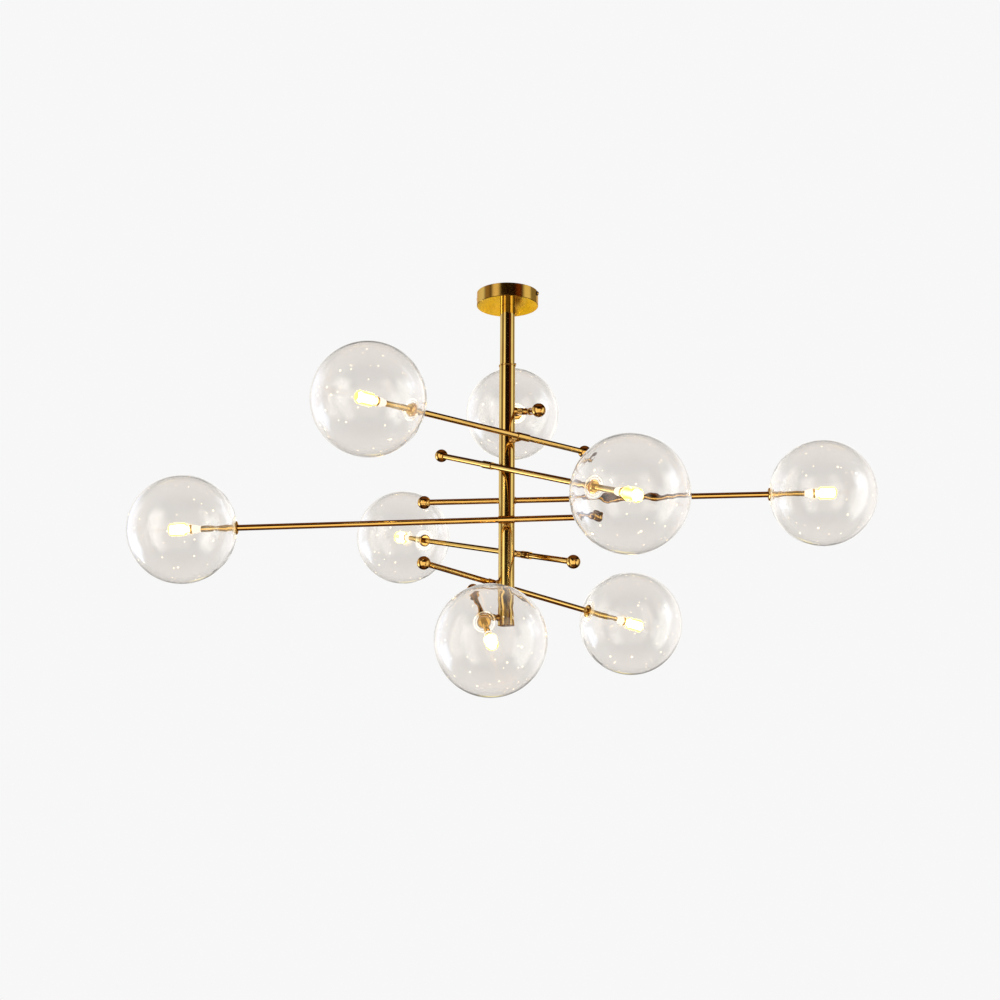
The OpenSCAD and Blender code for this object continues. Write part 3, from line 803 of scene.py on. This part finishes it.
def painted_floor(tone):
    """Pale matt floor, seen from above only; the metal mirrors the world's own floor instead."""
    tree, shader, place = new_material("pale_floor")
    feed(tree, shader, {
        "Base Color": blended(tree, noise(tree, place, 3.0, 3.0), tone, tinted(tone, 0.985)),
        "Roughness": 0.9,
        "Specular IOR Level": 0.1})
    glossy_bounces = tree.nodes.new("ShaderNodeLightPath").outputs["Glossy Depth"]
    mirrored = arithmetic(tree, "GREATER_THAN", glossy_bounces, 0.5)
    backfacing = tree.nodes.new("ShaderNodeNewGeometry").outputs["Backfacing"]
    clear = tree.nodes.new("ShaderNodeBsdfTransparent")
    mix = add(tree, "ShaderNodeMixShader", {
        0: arithmetic(tree, "MAXIMUM", backfacing, mirrored), 1: shader.outputs[0], 2: clear.outputs[0]})
    feed(tree, tree.nodes["Material Output"], {"Surface": mix.outputs[0]})
    return bpy.data.materials["pale_floor"]


# Operators: one for each piece or group of like pieces

class CHANDELIER_OT_finishes(bpy.types.Operator):
    """Makes the shader groups and the finishes"""
    bl_idname = "chandelier.finishes"
    bl_label = "Finishes"

    def execute(self, context):
        for group in (draw_lines_group, toning_group, worn_edges_group, soft_panel_group, seeds_group):
            group()
        tones = context.scene.chandelier_finish
        glow = context.scene.chandelier_studio.lamp_glow
        deep, reddish = tuple(tones.brass_deep), tuple(tones.arm_brass)
        dark_limb = {"lacquer": 0.05, "grazing": (0.40, 0.25, 0.16)}
        brass("rod_brass", reddish, deep, 0.10, 0.00001, stretch=(30, 1, 30), fineness=60.0, **dark_limb)
        brass("turned_brass", reddish, deep, 0.10, 0.00001, **dark_limb)
        # this brass has a painted glow that stands in for the lamp's light on the nut, the lamp stem and the
        # collar
        brass("brass_painted_lamplight", reddish, deep, 0.10, 0.00001, lacquer=0.05, lit=0.16)
        brass("knurl_brass", reddish, deep, 0.20, 0.00002)
        spun_brass("stem_brass", tuple(tones.brass), deep, 0.10, 0.00001)
        spun_brass("canopy_side_brass", tuple(tones.canopy_side), deep, 0.17, 0.00006)
        spun_brass("canopy_face_brass", tuple(tones.canopy_face), deep, 0.10, 0.00002)
        zinc(tuple(tones.steel))
        moulded_nylon(tuple(tones.nylon))
        steatite("steatite", tuple(tones.ceramic), 0.0)
        steatite("steatite_painted_glow", tuple(tones.ceramic), 0.85)
        braided_sleeve(tuple(tones.sleeve))
        blown_glass(tuple(tones.glass))
        mouth_glass(tuple(tones.glass))
        lit_lamp(tuple(tones.lamp_heart), tuple(tones.lamp_rim), glow)
        return {"FINISHED"}


class CHANDELIER_OT_canopy(bpy.types.Operator):
    """Spins the canopy and cuts its two side slots"""
    bl_idname = "chandelier.canopy"
    bl_label = "Canopy"

    def execute(self, context):
        sizes = context.scene.chandelier_canopy
        low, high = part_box("canopy")
        outer, floor = high.x, low.z
        inner, shelf = outer - sizes.wall, floor + sizes.wall
        wall = [(sizes.hole / 2, floor), (outer - sizes.lip, floor, 0.15 * MM),
                (outer, floor + sizes.lip, 0.15 * MM), (outer, 0, 0.2 * MM), (inner, 0, 0.2 * MM),
                (inner, shelf, 0.8 * MM), (sizes.hole / 2, shelf)]
        deep = 3 * MM
        slots = []
        for turn in (0, math.pi):
            spin = Matrix.Rotation(sizes.heading + turn, 4, "Z")
            gap = box_mesh((4 * sizes.wall, sizes.slot, sizes.screw_drop * 2), (inner, 0, 0))
            slot_end = Matrix.Translation((inner, 0, -sizes.screw_drop)) @ ALONG_X
            slots += [placed(gap, spin), placed(drill(sizes.slot, -deep, deep), spin @ slot_end)]
        made = carved(turned(wall, 180, closed=True), *slots)
        for face in made.faces:
            on_underside = face.calc_center_median().z < floor + 0.2 * MM and abs(face.normal.z) > 0.9
            face.material_index = int(on_underside)
        piece("canopy_cup", made, "root", "satin_brass", "canopy_side_brass", "canopy_face_brass",
              stands_for=["canopy"])
        return {"FINISHED"}


class CHANDELIER_OT_ceiling_fitting(bpy.types.Operator):
    """Finishes the bracket, the nipple and nut, the terminal block and the side screws"""
    bl_idname = "chandelier.ceiling_fitting"
    bl_label = "Ceiling fitting"

    def execute(self, context):
        dress("ceiling_bracket", "zinc_plating")
        dress("stem_nipple", "zinc_plating")
        dress("wiring_loom", "braided_sleeve")
        dress("terminal_block", "steatite")
        self.side_screws(context.scene.chandelier_canopy)
        self.clamps(context.scene.chandelier_canopy)
        return {"FINISHED"}

    def side_screws(self, sizes):
        """Two pan-headed screws with a slot, and their nylon washers."""
        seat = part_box("canopy")[1].x + sizes.washer_height + CLEARANCE
        tip, crown = seat - sizes.screw_length, seat + sizes.screw_crown
        shank, head = sizes.screw / 2, sizes.screw_head / 2
        screw = [(0, tip), (shank, tip), (shank, seat - BROKEN_EDGE), (shank, seat), (head, seat),
                 (head, seat + 1 * MM, 0.4 * MM), (head - 0.9 * MM, crown - 0.4 * MM, 0.6 * MM),
                 (head - 2.2 * MM, crown, 0.5 * MM), (0, crown)]
        back, front = seat - CLEARANCE - sizes.washer_height, seat - CLEARANCE
        bore = shank + BROKEN_EDGE
        washer = [(bore, back), (sizes.washer / 2, back), (sizes.washer / 2, front), (bore, front)]
        for k, turn in enumerate((0, math.pi), start=1):
            at = (Matrix.Rotation(sizes.heading + turn, 4, "Z")
                  @ Matrix.Translation((0, 0, -sizes.screw_drop)) @ ALONG_X)
            slot = box_mesh((sizes.screw_slot, 4.6 * MM, 2 * MM), (0, 0, crown - 0.1 * MM))
            piece(f"side_screw_{k}", placed(carved(turned(screw, 48), slot), at), "root", "polished_brass",
                  "turned_brass", stands_for=["canopy_screws"])
            piece(f"screw_washer_{k}", placed(turned(washer, 64, closed=True, edge=0.25 * MM), at), "root",
                  "black_nylon", "moulded_nylon", stands_for=["nylon_washers"])

    def clamps(self, sizes):
        """Brass sleeves and clamp screws in the terminal block."""
        low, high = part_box("terminal_block")
        centre, top = (low + high) / 2, high.z
        bore, outer, half = sizes.clamp_bore / 2, sizes.clamp / 2, sizes.clamp_length / 2
        sleeve = [(bore, -half), (outer, -half), (outer, half), (bore, half)]
        face, thread = top - 0.8 * MM, sizes.clamp_screw / 2
        screw = [(0, top - 4 * MM), (thread, top - 4 * MM), (thread, face, 0.3 * MM), (0, face)]
        parts = []
        for pole in (-1, 0, 1):
            x = pole * sizes.pole_pitch
            lying = Matrix.Translation((x, 0, centre.z)) @ Matrix.Rotation(math.radians(90), 4, "X")
            parts.append(placed(turned(sleeve, 24, closed=True), lying))
            for y in (-4 * MM, 4 * MM):
                slot = box_mesh((0.6 * MM, 4 * MM, 1.4 * MM), (0, 0, face - 0.1 * MM))
                parts.append(placed(carved(turned(screw, 24), slot), Matrix.Translation((x, y, 0))))
        across = Matrix.Translation((centre.x, centre.y, 0)) @ Matrix.Rotation(sizes.heading, 4, "Z")
        piece("terminal_clamps", placed(merged(*parts), across), "root", "polished_brass", "turned_brass")


class CHANDELIER_OT_stem(bpy.types.Operator):
    """Draws the two stem tubes, the joint ring with its screw, and the bottom cap"""
    bl_idname = "chandelier.stem"
    bl_label = "Stem"

    def execute(self, context):
        sizes = context.scene.chandelier_stem
        for node, wall in (("upper_stem", sizes.upper_wall), ("lower_stem", sizes.lower_wall)):
            low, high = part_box(node)
            inner, outer = high.x - wall, high.x
            tube = [(inner, low.z), (outer, low.z), (outer, high.z), (inner, high.z)]
            piece(node + "_tube", turned(tube, 128, closed=True, edge=sizes.edge), "root", "polished_brass",
                  "stem_brass", stands_for=[node])
        self.joint(sizes)
        self.cap(sizes)
        return {"FINISHED"}

    def joint(self, sizes):
        """The coupling with its ring where the tubes meet, and the small socket screw that locks them."""
        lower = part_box("lower_stem")[1]
        upper_end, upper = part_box("upper_stem")
        first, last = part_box("stem_coupling")
        bore, outer = sizes.coupling / 2, sizes.ring_width / 2
        below = lower.x - sizes.lower_wall - CLEARANCE
        above = upper.x - sizes.upper_wall - CLEARANCE
        ring = [(bore, first.z), (below, first.z), (below, lower.z, 0), (outer, lower.z),
                (outer, upper_end.z), (above, upper_end.z, 0), (above, last.z), (bore, last.z)]
        piece("joint_ring", turned(ring, 128, closed=True, edge=0.5 * MM), "root", "polished_brass",
              "turned_brass", stands_for=["stem_coupling"])
        start, end = upper.x - 1 * MM, upper.x + 3 * MM
        screw = [(0, start), (sizes.lock / 2, start), (sizes.lock / 2, end, 0.35 * MM), (0, end)]
        key = drill(sizes.lock_key, end - 1.5 * MM, end + 1 * MM, sides=6)
        at = Matrix.Translation((0, 0, upper_end.z + sizes.lock_rise)) @ ALONG_X
        piece("locking_screw", placed(carved(turned(screw, 32), key), at), "root", "polished_brass",
              "knurl_brass")

    def cap(self, sizes):
        """The slightly domed disc that closes the stem."""
        low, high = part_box("bottom_cap")
        outer, shelf = high.x, low.z + sizes.cap
        plug = outer - sizes.cap_step
        disc = [(0, low.z), (outer * 0.75, low.z + 0.1 * MM, 4 * MM), (outer, low.z + 0.9 * MM, 0.5 * MM),
                (outer, shelf), (plug, shelf), (plug, high.z), (0, high.z)]
        piece("stem_cap", turned(disc, 128, edge=0.15 * MM), "root", "polished_brass", "turned_brass",
              stands_for=["bottom_cap"])


class CHANDELIER_OT_pivots(bpy.types.Operator):
    """Turns and knurls the eight pivot posts, and adds their friction washers"""
    bl_idname = "chandelier.pivots"
    bl_label = "Pivots"

    def execute(self, context):
        sizes = context.scene.chandelier_pivot
        bore = sizes.axle / 2 + CLEARANCE
        for arm in arms():
            boss_face = arm.pivot.xy.length - sizes.boss_length
            start = boss_face - CLEARANCE - sizes.washer_height
            end = start + sizes.washer_height
            self.post(arm, sizes, start)
            washer = [(bore, start), (sizes.washer / 2, start), (sizes.washer / 2, end), (bore, end)]
            piece(f"friction_washer_{arm.number}", turned(washer, 64, closed=True, edge=0.2 * MM), "root",
                  "black_nylon", "moulded_nylon", stands_for=["nylon_washers"], at=arm.post())
        return {"FINISHED"}

    def post(self, arm, sizes, end):
        """One post: foot, groove, knurled barrel, collar and axle."""
        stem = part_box("lower_stem")[1].x
        inside, foot = stem - 1.5 * MM, stem + sizes.foot_height
        root, axle, tip = sizes.barrel / 2, sizes.axle / 2, end + sizes.axle_length
        groove, skin = root - 0.9 * MM, root - sizes.knurl_depth
        knurl_start, knurl_end = foot + 1.4 * MM, end - 1.2 * MM
        near = [(0, inside), (sizes.foot / 2, inside), (sizes.foot / 2, foot, 0.6 * MM),
                (groove, foot, 0.3 * MM), (groove, foot + 1 * MM, 0.2 * MM), (skin, knurl_start)]
        far = [(skin, knurl_end), (root, knurl_end + 0.35 * MM), (root, end, 0.3 * MM), (axle, end),
               (axle, tip, 0.4 * MM), (0, tip)]
        barrel = knurled(sizes.barrel, knurl_start, knurl_end, sizes.knurl_pitch, sizes.knurl_depth)
        piece(f"pivot_post_{arm.number}", merged(turned(near, 96), turned(far, 96), barrel), "root",
              "knurled_brass", "knurl_brass", stands_for=["pivot_posts"], at=arm.post(), sharp=28)


class CHANDELIER_OT_hubs(bpy.types.Operator):
    """Makes the eight hubs with their bosses and grub screws"""
    bl_idname = "chandelier.hubs"
    bl_label = "Hubs"

    def execute(self, context):
        sizes = context.scene.chandelier_pivot
        outer, half = sizes.sleeve / 2, sizes.sleeve_length / 2
        bore = context.scene.chandelier_arm.tube / 2 + CLEARANCE
        sleeve = [(bore, -half), (outer, -half, 0.5 * MM), (outer, half, 0.5 * MM), (bore, half)]
        root, wide = bore + 0.4 * MM, sizes.boss / 2
        boss = [(0, root), (wide, root, 0), (wide, sizes.boss_length, 0.4 * MM), (0, sizes.boss_length)]
        seat = -bore - 0.15 * MM
        above, floor = -outer - 0.5 * MM, seat - 0.4 * MM
        thread = sizes.grub / 2
        grub = [(0, -outer), (thread, -outer + 0.2 * MM, 0.2 * MM), (thread, seat), (0, seat)]
        aside = Matrix.Translation((sizes.sleeve_length / 4, 0, 0))
        for arm in arms():
            to_arm = arm.matrix.inverted() @ arm.post()
            toward = (to_arm.to_3x3() @ -UP).normalized()
            turn = UP.rotation_difference(toward).to_matrix().to_4x4()
            made = carved(placed(turned(sleeve, 96, closed=True, edge=0.15 * MM), ALONG_X),
                          placed(turned(boss, 96), turn), operation="UNION")
            made = carved(made, placed(drill(sizes.grub_hole, above, floor), aside))
            arm.piece("sleeve", made, "polished_brass", ["turned_brass"], at=arm.matrix, part="hub")
            screw = carved(turned(grub, 32, edge=0.05 * MM), drill(sizes.grub_key, above, floor, sides=6))
            arm.piece("grub_screw", placed(screw, aside), "zinc_steel", ["zinc_plating"], at=arm.matrix)
        return {"FINISHED"}


class CHANDELIER_OT_rods(bpy.types.Operator):
    """Draws the eight tubes and turns their end balls"""
    bl_idname = "chandelier.rods"
    bl_label = "Tubes and balls"

    def execute(self, context):
        sizes = context.scene.chandelier_arm
        outer, bore = sizes.tube / 2, sizes.tube / 2 - sizes.tube_wall
        for arm in arms():
            back = arm.ball_reach()
            end = arm.reach - LampPlaces(sizes).seat - sizes.flange_height
            tube = [(bore, -back), (outer, -back), (outer, end), (bore, end)]
            arm.piece("tube", turned(tube, 64, closed=True, edge=0.3 * MM), "polished_brass", ["rod_brass"],
                      at=arm.along(0), part="rod")
            arm.piece("ball", self.ball(sizes), "polished_brass", ["turned_brass"], at=arm.along(-back))
        return {"FINISHED"}

    def ball(self, sizes):
        """The ball, with the small turned seat where the tube enters it."""
        radius, seat = sizes.ball / 2, sizes.tube / 2 + CLEARANCE
        outline = arc(radius, 180, math.degrees(math.asin((seat + 0.5 * MM) / radius)), 48)
        rim = outline[-1][1]
        mouth = [outline[-1], (seat + 0.1 * MM, rim - 0.2 * MM, 0.15 * MM), (seat, rim - 2 * MM)]
        return lathe(outline + rounded(mouth, BROKEN_EDGE)[1:] + [(0, rim - 2 * MM)], 96)


class CHANDELIER_OT_fitters(bpy.types.Operator):
    """Turns the flange, the round nut and the lamp stem at each glass"""
    bl_idname = "chandelier.fitters"
    bl_label = "Fitters"

    def execute(self, context):
        sizes = context.scene.chandelier_arm
        places = LampPlaces(sizes)
        seat, back = places.seat, places.seat + sizes.flange_height
        joiner, rim = sizes.joiner / 2, sizes.flange / 2
        flange = [(joiner, seat), (rim, seat, 0.3 * MM), (rim, seat + 1 * MM, 0.4 * MM),
                  (rim - 2.2 * MM, back, 0.9 * MM), (joiner, back)]
        nut = [(joiner, places.nut_back), (sizes.nut / 2, places.nut_back, 0.5 * MM),
               (sizes.nut / 2, places.nut, 0.3 * MM), (joiner, places.nut)]
        outer, bore = sizes.tube / 2, sizes.tube / 2 - sizes.tube_wall
        start, end = places.holder_back, places.nut_back - CLEARANCE
        stem = [(bore, start), (outer, start, 0.3 * MM), (outer, end), (bore, end)]
        for arm in arms():
            arm.piece("flange", turned(flange, 96, closed=True), "polished_brass", ["turned_brass"],
                      at=arm.lamp(), part="fitter")
            # the round nut and the lamp stem have a painted glow for the lamp's light on them
            arm.piece("round_nut", turned(nut, 96, closed=True), "polished_brass", ["brass_painted_lamplight"],
                      at=arm.lamp())
            arm.piece("lamp_stem", turned(stem, 64, closed=True), "polished_brass", ["brass_painted_lamplight"],
                      at=arm.lamp())
        return {"FINISHED"}


class CHANDELIER_OT_lamps(bpy.types.Operator):
    """Makes the ceramic lampholders and the lit lamps"""
    bl_idname = "chandelier.lamps"
    bl_label = "Lamps"

    def execute(self, context):
        sizes = context.scene.chandelier_arm
        places = LampPlaces(sizes)
        for arm in arms():
            # the lampholder has a painted glow for the lamp's light on it
            arm.piece("lampholder", self.holder(sizes, places), "white_ceramic", ["steatite_painted_glow"],
                      at=arm.lamp(), part="holder")
            # the collar has a painted glow for the lamp's light on it
            arm.piece("collar", self.collar(sizes, places), "polished_brass", ["brass_painted_lamplight"], at=arm.lamp())
            arm.piece("lamp", self.lamp(sizes, places), "bulb_glass", ["lit_lamp"], at=arm.lamp(),
                      part="bulb")
        return {"FINISHED"}

    def holder(self, sizes, places):
        """A waisted ceramic body with a flat on each side and two pin slots in its face."""
        radius, waist = sizes.holder / 2, sizes.holder / 2 - sizes.holder_waist
        front, back = places.holder, places.holder_back
        outline = [(0, front), (radius - 0.6 * MM, front, 0.4 * MM), (radius, front + 1.2 * MM, 0.5 * MM),
                   (radius, back - 7 * MM, 1.5 * MM), (waist, back - 4 * MM, 1 * MM),
                   (waist, back, 0.5 * MM), (0, back)]
        cuts = []
        for side in (-1, 1):
            cuts.append(box_mesh((sizes.pin_slot, sizes.pin_slot, 6 * MM),
                                 (0, side * sizes.pin_pitch / 2, front)))
            cuts.append(box_mesh((2 * MM, sizes.holder, 8 * MM),
                                 (side * (radius + 0.1 * MM), 0, (front + back) / 2)))
        return carved(turned(outline, 64, edge=0.2 * MM), *cuts)

    def collar(self, sizes, places):
        """The rolled brass collar round the lampholder's face."""
        front = places.holder
        inner = sizes.holder / 2 - 0.4 * MM
        rolled, skirt = inner + 1 * MM, inner + 0.6 * MM
        outline = [(inner, front + 0.2 * MM), (rolled, front + 0.2 * MM), (rolled, front + 2 * MM, 0.6 * MM),
                   (skirt, front + 2.6 * MM), (skirt, front + 4.6 * MM), (inner, front + 4.6 * MM)]
        return turned(outline, 64, closed=True, edge=0.2 * MM)

    def lamp(self, sizes, places):
        """A capsule lamp with a rounded tip and a narrower neck that sits in its holder."""
        radius, neck = sizes.lamp / 2, sizes.lamp / 2 * 0.6
        tip, end = places.holder - sizes.lamp_length, places.holder - 0.3 * MM
        shell = [(0, tip), (radius * 0.62, tip, 3 * MM), (radius, tip + 4.5 * MM, 5 * MM),
                 (radius, places.holder - 9 * MM, 3 * MM), (neck, places.holder - 4 * MM, 1.5 * MM),
                 (neck, end, 0.5 * MM), (0, end)]
        return turned(shell, 64, edge=0.5 * MM, steps=8)


class CHANDELIER_OT_globes(bpy.types.Operator):
    """Blows the eight clear glass globes"""
    bl_idname = "chandelier.globes"
    bl_label = "Globes"

    def execute(self, context):
        sizes = context.scene.chandelier_arm
        places = LampPlaces(sizes)
        outer, inner, mouth = sizes.globe / 2, sizes.globe / 2 - sizes.glass, sizes.mouth / 2
        seat_angle = math.degrees(math.acos(places.seat / outer))
        land_angle = math.degrees(math.acos(places.land / inner))
        outside = [(mouth, places.seat)] + arc(outer, seat_angle, 180, 96)
        inside = arc(inner, 180, land_angle, 90) + [(mouth, places.land)]
        thick_end = (places.land - 0.01 * MM, places.seat - 0.5 * MM)
        for arm in arms():
            skins = merged(lathe(outside, 160), lathe(inside, 160))
            bmesh.ops.bridge_loops(skins, edges=[edge for edge in skins.edges if edge.is_boundary])
            bmesh.ops.recalc_face_normals(skins, faces=skins.faces)
            for face in skins.faces:
                face.smooth = True
                middle = face.calc_center_median()
                on_land = middle.xy.length < sizes.land / 2 - CLEARANCE
                face.material_index = int(on_land and thick_end[0] < middle.z < thick_end[1])
            arm.piece("glass", skins, "clear_glass", ["blown_glass", "mouth_glass"], at=arm.lamp(),
                      part="globe", sharp=50)
        return {"FINISHED"}


class CHANDELIER_OT_studio(bpy.types.Operator):
    """Sets the camera, the world with its light panels, and the floor"""
    bl_idname = "chandelier.studio"
    bl_label = "Studio"

    def execute(self, context):
        studio = context.scene.chandelier_studio
        backdrop = tuple(context.scene.chandelier_finish.backdrop)
        context.scene.view_settings.view_transform = "Standard"
        camera = bpy.data.objects.new("camera", bpy.data.cameras.new("camera"))
        camera.data.lens, camera.data.sensor_width = studio.lens, 36
        camera.data.clip_start, camera.data.clip_end = 0.05, 100
        camera.matrix_world = (Matrix.Translation(studio.camera)
                               @ Matrix.Rotation(math.radians(90) + studio.pitch, 4, "X")
                               @ Matrix.Rotation(studio.roll, 4, "Z"))
        context.scene.collection.objects.link(camera)
        context.scene.camera = camera
        floor = bmesh.new()
        bmesh.ops.create_circle(floor, cap_ends=True, radius=studio.floor_radius, segments=96)
        ground = loose("floor", floor)
        ground.location.z = -studio.floor_drop
        ground.data.materials.append(painted_floor(backdrop))
        self.world(context, backdrop)
        return {"FINISHED"}

    def world(self, context, backdrop):
        """White where it's seen, directly or through glass; what is mirrored is a dark room with panels."""
        world = bpy.data.worlds.new("studio")
        context.scene.world = world
        world.cycles.sampling_method = "NONE"
        world.use_nodes = True
        tree = world.node_tree
        tree.nodes.clear()
        rays = tree.nodes.new("ShaderNodeLightPath").outputs
        mirrored = arithmetic(tree, "GREATER_THAN", rays["Glossy Depth"], 0.5)
        twice = arithmetic(tree, "GREATER_THAN", rays["Glossy Depth"], 1.5)
        crossings = arithmetic(tree, "MODULO", rays["Transmission Depth"], 4.0)
        in_wall = arithmetic(tree, "GREATER_THAN", crossings, 1.5)
        place = tree.nodes.new("ShaderNodeTexCoord").outputs["Generated"]
        room, join = ROOM_DARK, "ADD"
        for *panel, light, in_glass, again, tone in ROOM_PANELS:
            mask = grouped(tree, "soft_panel", {
                "Direction": place, **dict(zip(PANEL_ANGLES, map(math.radians, panel)))})["Mask"]
            stronger = arithmetic(tree, "MULTIPLY_ADD", in_wall, in_glass - 1, 1.0)
            left = arithmetic(tree, "MULTIPLY_ADD", twice, again - 1, 1.0)
            strength = arithmetic(tree, "MULTIPLY", arithmetic(tree, "MULTIPLY", mask, stronger), left)
            lit = tuple(channel * light for channel in tone)
            shade = add(tree, "ShaderNodeVectorMath", {0: lit, "Scale": strength}, operation="SCALE")
            joined = add(tree, "ShaderNodeVectorMath", {0: room, 1: shade.outputs[0]}, operation=join)
            room, join = joined.outputs[0], "MAXIMUM"
        shown = blended(tree, mirrored, backdrop, room)
        light = add(tree, "ShaderNodeBackground", {"Color": shown, "Strength": 1.0})
        add(tree, "ShaderNodeOutputWorld", {"Surface": light.outputs[0]})


OPERATORS = [CHANDELIER_OT_finishes, CHANDELIER_OT_canopy, CHANDELIER_OT_ceiling_fitting, CHANDELIER_OT_stem,
             CHANDELIER_OT_pivots, CHANDELIER_OT_hubs, CHANDELIER_OT_rods, CHANDELIER_OT_fitters,
             CHANDELIER_OT_lamps, CHANDELIER_OT_globes, CHANDELIER_OT_studio]
GROUPS = [("chandelier_canopy", CanopySizes), ("chandelier_stem", StemSizes),
          ("chandelier_pivot", PivotSizes), ("chandelier_arm", ArmSizes), ("chandelier_finish", Finishes),
          ("chandelier_studio", Studio)]


class CHANDELIER_PT_panel(bpy.types.Panel):
    """Lists the steps and the sizes"""
    bl_idname = "CHANDELIER_PT_panel"
    bl_label = "Branch chandelier"
    bl_space_type = "VIEW_3D"
    bl_region_type = "UI"
    bl_category = "Chandelier"

    def draw(self, context):
        for operator in OPERATORS:
            self.layout.operator(operator.bl_idname)
        for attribute, group in GROUPS:
            box = self.layout.box()
            box.label(text=group.__doc__)
            for name in group.__annotations__:
                box.prop(getattr(context.scene, attribute), name)


def register():
    """Registers the property groups, the operators and the panel."""
    for attribute, group in GROUPS:
        bpy.utils.register_class(group)
        setattr(bpy.types.Scene, attribute, PointerProperty(type=group))
    for operator in OPERATORS:
        bpy.utils.register_class(operator)
    bpy.utils.register_class(CHANDELIER_PT_panel)


def unregister():
    """Removes what register added."""
    bpy.utils.unregister_class(CHANDELIER_PT_panel)
    for operator in reversed(OPERATORS):
        bpy.utils.unregister_class(operator)
    for attribute, group in reversed(GROUPS):
        delattr(bpy.types.Scene, attribute)
        bpy.utils.unregister_class(group)


def main():
    register()
    for operator in OPERATORS:
        namespace, name = operator.bl_idname.split(".")
        getattr(getattr(bpy.ops, namespace), name)()


if __name__ == "__main__":
    main()
